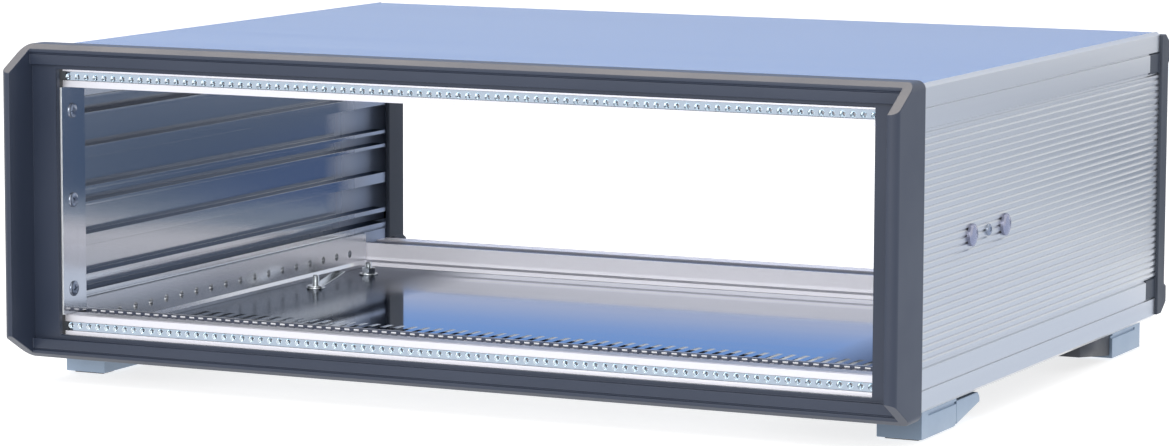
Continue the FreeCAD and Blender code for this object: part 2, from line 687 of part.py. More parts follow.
def rail(label, level, rear):
    """Extrusion with an insert groove in its outer face, an open channel on the far
    side, and a sunk band on its inner face with a guide slot for every module."""
    body = body_for(label)

    def at(depth, height):
        station = f"sizes.rail_span - ({depth})" if rear else depth
        return station, signed(level, height)

    line = "sizes.rail_line_start"
    line_end = "sizes.rail_line_start + sizes.rail_line_width"
    line_floor = f"{RAIL_IN} + sizes.rail_line_depth"
    band, band_end = "sizes.band_start", "sizes.band_start + sizes.band_width"
    band_floor = f"{RAIL_IN} + sizes.band_depth"
    ceiling = f"{RAIL_IN} + sizes.band_depth + sizes.rail_floor"
    channel, channel_end = "sizes.rail_front_wall", "sizes.rail_depth - sizes.rail_back_wall"
    groove_depth = "sizes.insert_set_back + sizes.insert_depth + sizes.fit_gap"
    section = side_sketch(body, f"{label}_section", "0")
    outline(section, [
        at("0", RAIL_IN), at(line, RAIL_IN), at(line, line_floor), at(line_end, line_floor),
        at(line_end, RAIL_IN), at(band, RAIL_IN), at(band, band_floor), at(band_end, band_floor),
        at(band_end, RAIL_IN), at("sizes.rail_depth", RAIL_IN),
        at("sizes.rail_depth", f"{RAIL_OUT} - sizes.foot_lip_height"),
        at(RAIL_BACK, f"{RAIL_OUT} - sizes.foot_lip_height + sizes.foot_lip_proud"),
        at(RAIL_BACK, RAIL_OUT), at(channel_end, RAIL_OUT), at(channel_end, ceiling),
        at(channel, ceiling), at(channel, RAIL_OUT), at("0", RAIL_OUT),
        at("0", f"{INSERT_OUT} + sizes.fit_gap"), at(groove_depth, f"{INSERT_OUT} + sizes.fit_gap"),
        at(groove_depth, f"{INSERT_IN} - sizes.fit_gap"), at("0", f"{INSERT_IN} - sizes.fit_gap"),
    ])
    half = REAR_RAIL_X if rear else FRONT_RAIL_X
    pad(body, section, f"2 * {half}", symmetric=True)
    slot = plan_sketch(body, f"{label}_slot", signed(level, RAIL_IN))
    across = "(-(sizes.modules - 1) / 2 * sizes.module_pitch)"
    station = "(sizes.rail_span - sizes.guide_slot_station)" if rear else "sizes.guide_slot_station"
    rectangle(slot,
              (f"{across} - sizes.guide_slot_width / 2", f"{across} + sizes.guide_slot_width / 2"),
              (f"{station} - sizes.guide_slot_length / 2", f"{station} + sizes.guide_slot_length / 2"))
    first = pocket(body, slot, "sizes.band_depth + sizes.rail_floor + 0.5", reverse=(level > 0))
    repeat(body, first, "H_Axis", "sizes.module_pitch", "sizes.modules")


def insert(label, level, rear, tapped):
    """Flat strip with a tapped hole for every module."""
    body = body_for(label)
    depth_from = "sizes.insert_set_back"
    depth_to = "sizes.insert_set_back + sizes.insert_depth"
    station = f"sizes.rail_span - ({depth_to})" if rear else depth_from
    half = REAR_RAIL_X if rear else FRONT_RAIL_X
    face = across_sketch(body, f"{label}_face", station)
    rectangle(face, (f"-{half}", half), span(level, INSERT_IN, INSERT_OUT))
    pad(body, face, "sizes.insert_depth", reverse=True)
    if tapped:
        hole = across_sketch(body, f"{label}_hole", station)
        circle(hole, "-(sizes.modules - 1) / 2 * sizes.module_pitch", signed(level, ROW_LEVEL),
               "sizes.insert_hole")
        first = pocket(body, hole, "sizes.insert_depth + 0.5")
        repeat(body, first, "H_Axis", "sizes.module_pitch", "sizes.modules")


def rail_end_blocks():
    """Black blocks that close the front rails' ends, with a plate before the panel's edge."""
    blocks = []
    for side, side_word in ((LEFT, "left"), (RIGHT, "right")):
        for level, level_word in ((BOTTOM, "bottom"), (TOP, "top")):
            name = f"end_{side_word}_{level_word}"
            plate = block(f"{name}_plate",
                          span(side, FRONT_RAIL_X, f"{FRONT_RAIL_X} + sizes.end_block_reach"),
                          ("-sizes.end_block_front", "-sizes.fit_gap / 2"),
                          span(level, RAIL_IN, RAIL_OUT))
            filler = block(f"{name}_filler",
                           span(side, FRONT_RAIL_X, REAR_RAIL_X),
                           ("-sizes.end_block_front", "sizes.end_block_depth"),
                           span(level, RAIL_IN, RAIL_OUT))
            blocks.append(fuse(name, [plate, filler]))
    group("rail_end_blocks", blocks)


# Strips and flanges

def strip(label, side, level, drilled):
    """Perforated strip on the side panel, with a sloped lip along its outer edge."""
    body = body_for(label)
    start = "(-sizes.flange_front + sizes.flange_width + sizes.fit_gap)"
    plate = across_sketch(body, f"{label}_plate", start)
    rectangle(plate, span(side, STRIP_X, INSIDE), span(level, CHAMBER, RAIL_OUT))
    pad(body, plate, f"{STRIP_END} - {start}", reverse=True)
    lip_start = f"({RAIL_BACK} + sizes.fit_gap)"
    lip = across_sketch(body, f"{label}_lip", lip_start)
    lip_x = f"{STRIP_X} - sizes.strip_lip"
    points = [
        (STRIP_X, f"{RAIL_OUT} - sizes.foot_lip_height"),
        (lip_x, f"{RAIL_OUT} - sizes.foot_lip_height + sizes.strip_lip"),
        (lip_x, RAIL_OUT),
        (STRIP_X, RAIL_OUT),
    ]
    outline(lip, [(signed(side, x), signed(level, z)) for x, z in points])
    pad(body, lip, f"{STRIP_END} - {lip_start}", reverse=True)
    if drilled:
        hole = side_sketch(body, f"{label}_hole", signed(side, INSIDE))
        circle(hole, "sizes.strip_hole_start", signed(level, f"({RAIL_OUT} - sizes.strip_hole_inset)"),
               "sizes.strip_hole")
        first = pocket(body, hole, "sizes.strip_thickness + 0.5", reverse=(side < 0))
        room = f"({STRIP_END} - sizes.strip_hole_margin - sizes.strip_hole_start)"
        repeat(body, first, "H_Axis", "sizes.strip_hole_pitch", f"floor({room} / sizes.strip_hole_pitch) + 1")


FLANGE_HOLE_LEVEL = f"({RAIL_IN} - sizes.flange_hole_inset)"
FLANGE_LEVELS = (f"-{FLANGE_HOLE_LEVEL}", "0", FLANGE_HOLE_LEVEL)


def flange(label, side):
    body = body_for(label)
    face = side_sketch(body, f"{label}_face", signed(side, FLANGE_X))
    half = f"({RAIL_IN} - sizes.fit_gap / 2)"
    rectangle(face, ("-sizes.flange_front", "-sizes.flange_front + sizes.flange_width"), (f"-{half}", half))
    for level in FLANGE_LEVELS:
        circle(face, "sizes.flange_hole_station", level, "sizes.flange_hole")
    pad(body, face, "sizes.flange_thickness", reverse=(side < 0))


def flange_screws():
    screws = []
    for side, word in ((LEFT, "left"), (RIGHT, "right")):
        inward, outward = ("+X", "-X") if side < 0 else ("-X", "+X")
        for number, level in enumerate(FLANGE_LEVELS, start=1):
            name = f"flange_screw_{word}_{number}"
            base = (signed(side, FLANGE_X), "sizes.flange_hole_station", level)
            head = cone(f"{name}_head", inward, base, "sizes.flange_head",
                        "sizes.flange_head - sizes.flange_head_height", "sizes.flange_head_height")
            shank = cylinder(f"{name}_shank", outward, base,
                             "sizes.flange_screw", "sizes.flange_screw_length")
            screws.append(fuse(name, [head, shank]))
    group("flange_screws", screws)


# Rear trims

def rear_trim(label, side):
    """Dark corner piece behind the side panel: a channel with thicker ears at top
    and bottom, an inner leg on a web and two tabs that fill the panel's notches."""
    body = body_for(label)
    face = side_sketch(body, f"{label}_outline", signed(side, TRIM_IN))
    ear = f"({TRIM_Z} - sizes.trim_ear_height)"
    upper = [
        (TRIM_BACK, f"({ear} - sizes.trim_ear_depth / 2)"),
        (TRIM_END, ear),
        (TRIM_END, f"({TRIM_Z} - sizes.trim_bevel_drop)"),
        (f"{TRIM_END} - sizes.trim_bevel_run", TRIM_Z),
        (SIDE_LENGTH, TRIM_Z),
    ]
    outline(face, upper + [(y, f"-({z})") for y, z in reversed(upper)])
    pad(body, face, f"{TRIM_OUT} - {TRIM_IN}", reverse=(side < 0))

    hollow = across_sketch(body, f"{label}_hollow", SIDE_LENGTH)
    hollow_z = f"({TRIM_Z} - sizes.trim_wall)"
    hollow_x = span(side, f"{TRIM_IN} + sizes.trim_wall",
                    f"{TRIM_OUT} - sizes.trim_wall - sizes.trim_proud")
    rectangle(hollow, hollow_x, (f"-{hollow_z}", hollow_z))
    pocket(body, hollow, "sizes.trim_depth - sizes.trim_wall")

    leg_z = f"({RAIL_IN} - sizes.fit_gap)"
    web = across_sketch(body, f"{label}_web", f"({SIDE_LENGTH} + sizes.trim_web)")
    rectangle(web, span(side, f"{FLANGE_X} + sizes.trim_rebate", f"{TRIM_IN} + sizes.trim_wall"),
              (f"-{leg_z}", leg_z))
    pad(body, web, "sizes.trim_web")

    leg = across_sketch(body, f"{label}_leg", SIDE_LENGTH)
    rectangle(leg, span(side, FLANGE_X, f"{FLANGE_X} + sizes.trim_wall"), (f"-{leg_z}", leg_z))
    pad(body, leg, "sizes.trim_leg")

    tabs = across_sketch(body, f"{label}_tabs", SIDE_LENGTH)
    for level in (TOP, BOTTOM):
        rectangle(tabs, span(side, f"{OUTSIDE} - sizes.chamber_outer_wall + sizes.fit_gap / 2",
                             f"{OUTSIDE} - sizes.fit_gap / 2"),
                  span(level, f"{RIB_EDGE} + sizes.fit_gap", f"{LINE_LEVEL} - sizes.fit_gap"))
    pad(body, tabs, "sizes.notch_length - sizes.fit_gap")


# Fittings on the side panels

def side_fittings():
    plugs, screws = [], []
    for side, word in ((LEFT, "left"), (RIGHT, "right")):
        outward, inward = ("-X", "+X") if side < 0 else ("+X", "-X")
        for way, place in (("-", "front"), ("+", "rear")):
            name = f"plug_{word}_{place}"
            station = f"sizes.plug_centre {way} sizes.plug_spacing / 2"
            base = (signed(side, OUTSIDE), station, "0")
            crown_base = (signed(side, f"({OUTSIDE} + sizes.plug_rim)"), station, "0")
            rim = cylinder(f"{name}_rim", outward, base, "sizes.plug_head", "sizes.plug_rim")
            crown = cone(f"{name}_crown", outward, crown_base,
                         "sizes.plug_head", "sizes.plug_crown", "sizes.plug_dome")
            stem = cylinder(f"{name}_stem", inward, base, "sizes.plug_stem", "sizes.fitting_depth")
            plugs.append(fuse(name, [rim, crown, stem]))
        name = f"side_screw_{word}"
        base = (signed(side, OUTSIDE), "sizes.plug_centre", "0")
        head = cone(f"{name}_head", outward, base, "sizes.side_screw_head",
                    "sizes.side_screw_head - sizes.side_screw_height", "sizes.side_screw_height")
        stem = cylinder(f"{name}_stem", inward, base, "sizes.side_screw_stem", "sizes.fitting_depth")
        screws.append(fuse(name, [head, stem]))
    group("side_plugs", plugs)
    group("side_screws", screws)


# Feet

FOOT_TOP = f"-{COVER_TOP}"
FOOT_BASE = f"-{SEAT_LEVEL}"
FRONT_FOOT_END = "(sizes.front_foot_station + sizes.foot_length)"
REAR_FOOT_START = f"({REAR_FOOT_END} - sizes.foot_length)"
HINGE_Y = f"({FRONT_FOOT_END} - sizes.hinge_round)"
HINGE_Z = f"(-{SEAT_LEVEL} + sizes.hinge_round)"


def foot_block(label, side, front):
    """Foot block with a tenon that sits in the side panel's lower rebate."""
    body = body_for(label)
    start, end = ("sizes.front_foot_station", FRONT_FOOT_END) if front else (REAR_FOOT_START, REAR_FOOT_END)
    width = span(side, FOOT_IN, FOOT_OUT)
    base = plan_sketch(body, f"{label}_base", FOOT_BASE)
    rectangle(base, width, (start, end))
    main = pad(body, base, "sizes.foot_height")
    if front:
        low, rear = value(FOOT_BASE), value(end)
        rounded = round_edges(body, main, "sizes.hinge_round", lambda p: near(p.z, low) and near(p.y, rear))
        body.Tip = rounded

    tenon = plan_sketch(body, f"{label}_tenon", FOOT_TOP)
    rectangle(tenon, span(side, f"{INSIDE} + sizes.foot_tenon_wall", FOOT_OUT), (start, end))
    pad(body, tenon, f"{COVER_TOP} - {REBATE}")

    shadow = side_sketch(body, f"{label}_shadow_line", signed(side, f"({FOOT_OUT} + 1)"))
    from_end = "sizes.foot_shadow_start"
    stations = (f"{start} + {from_end}", f"{end} + 1") if front else (f"{start} - 1", f"{end} - {from_end}")
    level = f"({FOOT_TOP} - sizes.foot_shadow_level)"
    rectangle(shadow, stations, (f"{level} - sizes.foot_shadow_height", level))
    pocket(body, shadow, "sizes.foot_shadow_depth + 1", reverse=(side < 0))

    recess = plan_sketch(body, f"{label}_pad_recess", FOOT_BASE)
    rectangle(recess, pad_across(side, "sizes.fit_gap / 2"), pad_stations(front, "sizes.fit_gap / 2"))
    pocket(body, recess, "sizes.pad_recess", reverse=True)

    station = FOOT_SCREW_STATIONS[0] if front else FOOT_SCREW_STATIONS[1]
    sink = plan_sketch(body, f"{label}_screw_sink", FOOT_BASE)
    circle(sink, signed(side, FOOT_SCREW_X), station, "sizes.foot_screw_bore")
    pocket(body, sink, "sizes.foot_screw_sink", reverse=True)
    bore = plan_sketch(body, f"{label}_screw_bore", FOOT_BASE)
    circle(bore, signed(side, FOOT_SCREW_X), station, "sizes.foot_screw + sizes.fit_gap")
    pocket(body, bore, reverse=True)

    if front:
        slot = across_sketch(body, f"{label}_hinge_slot", f"{end} + 1")
        half = "(sizes.tongue_width / 2 + sizes.hinge_gap)"
        rectangle(slot, (f"{signed(side, FOOT_MID)} - {half}", f"{signed(side, FOOT_MID)} + {half}"),
                  (f"{FOOT_BASE} - 1", f"{HINGE_Z} + sizes.hinge_round + 2 * sizes.fit_gap"))
        pocket(body, slot, "2 * sizes.hinge_round + sizes.hinge_gap + 1", reverse=True)
        eye = side_sketch(body, f"{label}_hinge_eye",
                          f"{signed(side, FOOT_MID)} - sizes.hinge_pin_length / 2")
        circle(eye, HINGE_Y, HINGE_Z, "sizes.hinge_pin")
        pocket(body, eye, "sizes.hinge_pin_length", reverse=True)


def pad_across(side, gap):
    mid = signed(side, FOOT_MID)
    return f"{mid} - sizes.pad_width / 2 - {gap}", f"{mid} + sizes.pad_width / 2 + {gap}"


def pad_stations(front, gap):
    if front:
        first = "(sizes.front_foot_station + sizes.pad_inset)"
    else:
        first = f"({REAR_FOOT_END} - sizes.pad_inset - sizes.pad_length)"
    return f"{first} - {gap}", f"{first} + sizes.pad_length + {gap}"


def foot_pads():
    pads = []
    for side, word in ((LEFT, "left"), (RIGHT, "right")):
        for front, place in ((True, "front"), (False, "rear")):
            pads.append(block(f"pad_{place}_{word}", pad_across(side, "0"), pad_stations(front, "0"),
                              (f"-{FLOOR_LEVEL}", f"{FOOT_BASE} + sizes.pad_recess")))
    group("foot_pads", pads)


def foot_screws():
    screws = []
    for side, word in ((LEFT, "left"), (RIGHT, "right")):
        for station, place in zip(FOOT_SCREW_STATIONS, ("front", "rear")):
            name = f"foot_screw_{place}_{word}"
            seat = f"({FOOT_BASE} + sizes.foot_screw_sink)"
            across = signed(side, FOOT_SCREW_X)
            head = cylinder(f"{name}_head", "+Z", (across, station, f"{seat} - sizes.foot_screw_head_height"),
                            "sizes.foot_screw_head", "sizes.foot_screw_head_height")
            shank = cylinder(f"{name}_shank", "+Z", (across, station, seat), "sizes.foot_screw",
                             f"-{REBATE} + sizes.foot_screw_grip - {seat}")
            screws.append(fuse(name, [head, shank]))
    group("foot_screws", screws)


def tilt_foot(label, side):
    """Fold-out tail of a front foot: a flat wedge with a tongue and a knuckle that
    turns on a pin between the block's cheeks."""
    body = body_for(label)
    seam = f"({FRONT_FOOT_END} + sizes.hinge_gap)"
    tip = f"({seam} + sizes.tail_length)"
    top = f"({FOOT_TOP} - sizes.tail_top_gap)"
    tail = side_sketch(body, f"{label}_tail", signed(side, FOOT_MID))
    outline(tail, [
        (seam, top),
        (f"{tip} - sizes.tail_tip_round", top),
        (tip, f"{top} - sizes.tail_tip_round"),
        (tip, f"{top} - sizes.tail_tip_height"),
        (seam, f"{FOOT_BASE} + sizes.tail_rise"),
    ])
    pad(body, tail, "sizes.foot_width", symmetric=True)
    tongue = side_sketch(body, f"{label}_tongue", signed(side, FOOT_MID))
    rectangle(tongue, (HINGE_Y, f"{seam} + 1"),
              (f"{HINGE_Z} - sizes.tongue_height", f"{HINGE_Z} + sizes.tongue_height"))
    pad(body, tongue, "sizes.tongue_width", symmetric=True)
    knuckle = side_sketch(body, f"{label}_knuckle", signed(side, FOOT_MID))
    circle(knuckle, HINGE_Y, HINGE_Z, "sizes.knuckle")
    pad(body, knuckle, "sizes.tongue_width", symmetric=True)
    bore = side_sketch(body, f"{label}_bore", signed(side, FOOT_MID))
    circle(bore, HINGE_Y, HINGE_Z, "sizes.hinge_pin + 2 * sizes.hinge_running")
    pocket(body, bore, symmetric=True)


def tilt_pin(label, side):
    pin = cylinder(label, "+X", (f"{signed(side, FOOT_MID)} - sizes.hinge_pin_length / 2", HINGE_Y, HINGE_Z),
                   "sizes.hinge_pin", "sizes.hinge_pin_length")
    group(f"tilt_{label}", [pin])


def rear_wedge(label, side):
    """Dark wedge that runs forward from the rear foot and gets lower."""
    body = body_for(label)
    end = f"({REAR_FOOT_START} - sizes.fit_gap)"
    face = side_sketch(body, f"{label}_face",
                       f"{signed(side, f'({FOOT_IN} + sizes.wedge_inset)')}")
    outline(face, [
        (f"{end} - sizes.wedge_length", f"{FOOT_TOP} - sizes.fit_gap"),
        (end, f"{FOOT_TOP} - sizes.fit_gap"),
        (end, f"{FOOT_TOP} - sizes.fit_gap - sizes.wedge_root"),
        (f"{end} - sizes.wedge_length", f"{FOOT_TOP} - sizes.fit_gap - sizes.wedge_tip"),
    ])
    pad(body, face, "sizes.wedge_width", reverse=(side < 0))


# Earth stud and bolt

def ring(name, across, station, level, outer, inner, height):
    disc = cylinder(f"{name}_disc", "+Z", (across, station, level), outer, height)
    hole = cylinder(f"{name}_hole", "+Z", (across, station, level), inner, height)
    return cut(name, disc, hole)


def earth_fittings():
    plate = f"-{PLATE_TOP}"
    across, station = f"(sizes.stud_inset - {INSIDE})", f"(sizes.rail_span - sizes.stud_before_rail)"
    stud = cylinder("stud", "+Z", (across, station, plate), "sizes.stud_diameter", "sizes.stud_height")
    group("earth_stud", [stud])
    loose = "sizes.stud_diameter + sizes.fit_gap"
    group("earth_washer", [ring("stud_ring", across, station, plate, "sizes.washer_diameter", loose,
                                "sizes.washer_thickness")])
    tab = body_for("earth_tab")
    ground = f"({plate} + sizes.washer_thickness)"
    lug = plan_sketch(tab, "lug", ground)
    circle(lug, across, station, "sizes.washer_diameter - 4 * sizes.fit_gap")
    circle(lug, across, station, loose)
    pad(tab, lug, "sizes.washer_thickness")
    blade = side_sketch(tab, "blade", across)
    root = f"({station} + sizes.stud_diameter / 2 + 2 * sizes.fit_gap)"
    bend = f"({station} + sizes.washer_diameter / 2)"
    tip = f"({bend} + sizes.tab_reach)"
    thick = "sizes.washer_thickness"
    outline(blade, [
        (root, ground), (bend, ground), (tip, f"{ground} + sizes.tab_rise"),
        (tip, f"{ground} + sizes.tab_rise + {thick}"),
        (bend, f"{ground} + {thick}"), (root, f"{ground} + {thick}"),
    ])
    pad(tab, blade, "sizes.tab_width", symmetric=True)

    across, station = f"(sizes.bolt_inset - {INSIDE})", f"(sizes.rail_span - sizes.bolt_before_rail)"
    bolt = cylinder("bolt", "+Z", (across, station, plate), "sizes.stud_diameter", "sizes.bolt_height")
    group("plate_bolt", [bolt])
    group("plate_washer", [ring("bolt_ring", across, station, plate, "sizes.washer_diameter", loose,
                                "sizes.washer_thickness")])
    nut = body_for("plate_nut")
    flats = plan_sketch(nut, "nut_outline", ground)
    corner, half = "(sizes.nut_flats / sqrt(3))", "(sizes.nut_flats / 2)"
    outline(flats, [
        (f"{across} + {corner}", station),
        (f"{across} + {corner} / 2", f"{station} + {half}"),
        (f"{across} - {corner} / 2", f"{station} + {half}"),
        (f"{across} - {corner}", station),
        (f"{across} - {corner} / 2", f"{station} - {half}"),
        (f"{across} + {corner} / 2", f"{station} - {half}"),
    ])
    circle(flats, across, station, loose)
    pad(nut, flats, "sizes.nut_height")


def build():
    front_bezel()
    top_cover()
    bottom_plate()
    for side, word in ((LEFT, "left"), (RIGHT, "right")):
        side_panel(f"side_panel_{word}", side)
        strip(f"upper_strip_{word}", side, TOP, drilled=False)
        strip(f"lower_strip_{word}", side, BOTTOM, drilled=True)
        flange(f"flange_{word}", side)
        rear_trim(f"rear_trim_{word}", side)
        foot_block(f"front_foot_{word}", side, front=True)
        foot_block(f"rear_foot_{word}", side, front=False)
        tilt_foot(f"tilt_foot_{word}", side)
        tilt_pin(f"pin_{word}", side)
        rear_wedge(f"rear_wedge_{word}", side)
    for level, word in ((TOP, "top"), (BOTTOM, "bottom")):
        rail(f"front_rail_{word}", level, rear=False)
        rail(f"rear_rail_{word}", level, rear=True)
        insert(f"front_insert_{word}", level, rear=False, tapped=True)
        insert(f"rear_insert_{word}", level, rear=True, tapped=False)
    rail_end_blocks()
    flange_screws()
    side_fittings()
    foot_pads()
    foot_screws()
    earth_fittings()


def check():
    """Stops on any object that failed or any sub-part without a sound solid."""
    doc.recompute()
    for item in doc.Objects:
        if "Invalid" in item.State or "Error" in item.State:
            raise RuntimeError(f"{item.Label} failed: {item.State}")
    for node in NODES:
        if node.Shape.isNull() or not node.Shape.isValid() or not node.Shape.Solids:
            raise RuntimeError(f"{node.Label} has no sound solid")


def export():
    os.makedirs("parts", exist_ok=True)
    for node in NODES:
        node.Shape.exportStep(f"parts/{node.Label}.step")
        box = node.Shape.BoundBox
        limits = [round(limit, 2) for limit in (box.XMin, box.XMax, box.YMin, box.YMax, box.ZMin, box.ZMax)]
        print(f"{node.Label}: {len(node.Shape.Solids)} solid(s), {len(node.Shape.Faces)} faces, {limits}")


build()
check()
export()
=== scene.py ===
"""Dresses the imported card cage: finishes, small fittings, studio and camera.

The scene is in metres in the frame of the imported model, which stands on z = 0.
Pieces and the zones of finishes are given in millimetres of the same frame.
"""

import json
import math

import bmesh
import bpy
from mathutils import Matrix, Vector


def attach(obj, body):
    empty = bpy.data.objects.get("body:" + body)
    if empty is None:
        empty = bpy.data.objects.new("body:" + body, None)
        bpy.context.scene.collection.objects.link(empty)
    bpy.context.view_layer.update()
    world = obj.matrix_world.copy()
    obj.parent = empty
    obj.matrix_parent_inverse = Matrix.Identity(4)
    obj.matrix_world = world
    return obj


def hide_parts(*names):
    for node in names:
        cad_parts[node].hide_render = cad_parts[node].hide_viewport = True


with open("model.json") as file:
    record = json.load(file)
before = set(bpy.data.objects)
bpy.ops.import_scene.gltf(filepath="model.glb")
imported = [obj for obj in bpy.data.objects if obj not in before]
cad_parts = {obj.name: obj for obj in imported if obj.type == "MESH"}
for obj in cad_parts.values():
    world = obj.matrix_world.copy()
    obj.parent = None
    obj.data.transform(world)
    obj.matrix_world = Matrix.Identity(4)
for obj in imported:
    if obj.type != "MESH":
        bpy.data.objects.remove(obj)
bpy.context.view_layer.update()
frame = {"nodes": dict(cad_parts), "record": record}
nodes = frame["nodes"]
NODE_SLOTS = {part["node"]: part["material_slot"] for part in frame["record"]["subparts"]}
MM = 0.001

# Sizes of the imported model, in millimetres

MIDDLE = 88.8          # height half way between the two tapped rows
MODULE = 5.08
MODULES = 84
ROWS = {"top": 150.05, "bottom": 27.55}
RAIL_FACE = 56.2       # the rails' inner faces, from the middle height
RAIL_CENTRE = -1.75    # y half way between the front and rear rails
INSERT_LEVELS = {"top": (148.4, 152.5), "bottom": (25.1, 29.2)}
INSERT_DEPTH = 2.7
# Half length, y of the countersunk face, and the way from it into the strip
INSERTS = {"front_insert": (213.9, -171.15, 1), "rear_insert": (215.8, 167.65, -1)}
PANEL_FACE = 229.3     # the side panels' outer faces
PLUG_STATIONS = (-94.45, -49.45)
SIDE_SCREW_STATION = -71.95
FLANGE_FACE = 213.4
FLANGE_STATION = -163.95
FLANGE_LEVELS = (44.8, 88.8, 132.8)
BLOCK_X = 216.0
BLOCK_FACE = -174.1
BLOCK_RING_OFFSETS = (2.4, 10.2)   # from the rails' inner faces, away from the middle
FOOT_SCREW_X = 222.0
FOOT_SCREW_Z = 9.0
FOOT_STATIONS = (-124.45, 140.65)
PLATE_TOP = 19.8
WASHER = 0.8
STUD_PLACE = (-195.0, 48.15)
BOLT_PLACE = (-196.0, 109.55)


# Finishes

class Finish:
    """A material whose tree ends in one Principled shader."""

    def __init__(self, name, colour, roughness, metallic=0.0, **sockets):
        self.material = bpy.data.materials.new(name)
        self.material.use_nodes = True
        self.tree = self.material.node_tree
        self.tree.nodes.clear()
        self.shader = self.add("BsdfPrincipled")
        self.shader.inputs["Base Color"].default_value = (*colour, 1.0)
        self.shader.inputs["Roughness"].default_value = roughness
        self.shader.inputs["Metallic"].default_value = metallic
        for socket, value in sockets.items():
            self.shader.inputs[socket.replace("_", " ")].default_value = value
        output = self.add("OutputMaterial")
        self.link(self.shader.outputs["BSDF"], output.inputs["Surface"])
        where = self.add("TexCoord")
        self.place, self.facing = where.outputs["Object"], where.outputs["Normal"]

    def add(self, kind, **settings):
        node = self.tree.nodes.new("ShaderNode" + kind)
        for name, value in settings.items():
            setattr(node, name, value)
        return node

    def link(self, source, target):
        self.tree.links.new(source, target)

    # Sources: noise, and masks that are one on some faces and zero on the others

    def noise(self, per_metre, detail=3.0, roughness=0.55):
        """Noise with its own number of lumps per metre along each axis."""
        mapping = self.add("Mapping")
        mapping.inputs["Scale"].default_value = per_metre
        self.link(self.place, mapping.inputs["Vector"])
        noise = self.add("TexNoise")
        noise.inputs["Scale"].default_value = 1.0
        noise.inputs["Detail"].default_value = detail
        noise.inputs["Roughness"].default_value = roughness
        self.link(mapping.outputs["Vector"], noise.inputs["Vector"])
        return noise.outputs["Fac"]

    def spread(self, source, low, high, start=0.35, end=0.65):
        """Maps the range from start to end, by default a noise's middle, to low and high."""
        ramp = self.add("MapRange")
        for name, value in (("From Min", start), ("From Max", end), ("To Min", low), ("To Max", high)):
            ramp.inputs[name].default_value = value
        self.link(source, ramp.inputs["Value"])
        return ramp.outputs["Result"]

    def along(self, source, axis):
        """One coordinate of a place or a direction."""
        split = self.add("SeparateXYZ")
        self.link(source, split.inputs[0])
        return split.outputs["xyz".index(axis)]

    def chain(self, last, *steps):
        """Maths on a source: each step is an operation and its further values."""
        for operation, *values in steps:
            step = self.add("Math", operation=operation)
            for number, value in enumerate(values, 1):
                step.inputs[number].default_value = value
            self.link(last, step.inputs[0])
            last = step.outputs[0]
        return last

    def both(self, first, second):
        """The product of two sources."""
        product = self.add("Math", operation="MULTIPLY")
        self.link(first, product.inputs[0])
        self.link(second, product.inputs[1])
        return product.outputs[0]

    def zone(self, axis, centre, low, high):
        """One where the distance from a centre plane lies between low and high."""
        return self.chain(self.along(self.place, axis), ("SUBTRACT", centre * MM), ("ABSOLUTE",),
                          ("COMPARE", (low + high) / 2 * MM, (high - low) / 2 * MM))

    def ramp(self, axis, low, high):
        """Rises from zero to one as the distance from the origin's plane goes from low to high."""
        distance = self.chain(self.along(self.place, axis), ("ABSOLUTE",))
        return self.spread(distance, 0.0, 1.0, low * MM, high * MM)

    def dashes(self, axis, start, pitch, width):
        """One over a width at each step of a pitch."""
        return self.chain(self.along(self.place, axis), ("SUBTRACT", (start - pitch / 2) * MM),
                          ("FLOORED_MODULO", pitch * MM), ("COMPARE", pitch / 2 * MM, width / 2 * MM))

    def frontward(self):
        """One on the faces that look to the front."""
        return self.chain(self.along(self.facing, "y"), ("LESS_THAN", -0.8))

    def inward(self):
        """One on the faces of the sides that look towards the middle plane of x."""
        product = self.both(self.along(self.place, "x"), self.along(self.facing, "x"))
        return self.chain(product, ("LESS_THAN", -0.03))

    # Changes to the shader

    def blend(self, socket, factor, value):
        """Blends what feeds a socket of the shader towards a value."""
        target = self.shader.inputs[socket]
        tint = target.type == "RGBA"
        node = self.add("Mix", data_type="RGBA" if tint else "FLOAT")
        first, second, result = (6, 7, 2) if tint else (2, 3, 0)   # Mix has its own sockets for each type
        self.link(factor, node.inputs["Factor"])
        if target.is_linked:
            self.link(target.links[0].from_socket, node.inputs[first])
        else:
            node.inputs[first].default_value = target.default_value
        node.inputs[second].default_value = (*value, 1.0) if tint else value
        self.link(node.outputs[result], target)

    def patch(self, mask, colour=None, roughness=None, metallic=None, glow=None, edge=None):
        """Gives the masked faces a colour, roughness, metallic share, glow or edge tint."""
        for socket, value in (("Base Color", colour), ("Roughness", roughness), ("Metallic", metallic),
                              ("Emission Strength", glow), ("Specular Tint", edge)):
            if value is not None:
                self.blend(socket, mask, value)
        return self

    def vary_colour(self, source, other, start, end):
        """Shades the colour towards another where the noise is high."""
        self.blend("Base Color", self.spread(source, 0.0, 1.0, start, end), other)

    def vary_roughness(self, source, low, high):
        self.link(self.spread(source, low, high), self.shader.inputs["Roughness"])

    def relief(self, *layers):
        """Stacks bumps, each a noise and its depth in metres."""
        last = None
        for source, depth in layers:
            bump = self.add("Bump")
            bump.inputs["Strength"].default_value = 1.0
            bump.inputs["Distance"].default_value = depth
            self.link(source, bump.inputs["Height"])
            if last:
                self.link(last.outputs["Normal"], bump.inputs["Normal"])
            last = bump
        self.link(last.outputs["Normal"], self.shader.inputs["Normal"])
        return self


def grain_along(axis, coarse, fine):
    """Lumps per metre for a grain that runs along one axis."""
    return tuple(coarse if letter == axis else fine for letter in "xyz")


def even(per_metre):
    return (per_metre,) * 3


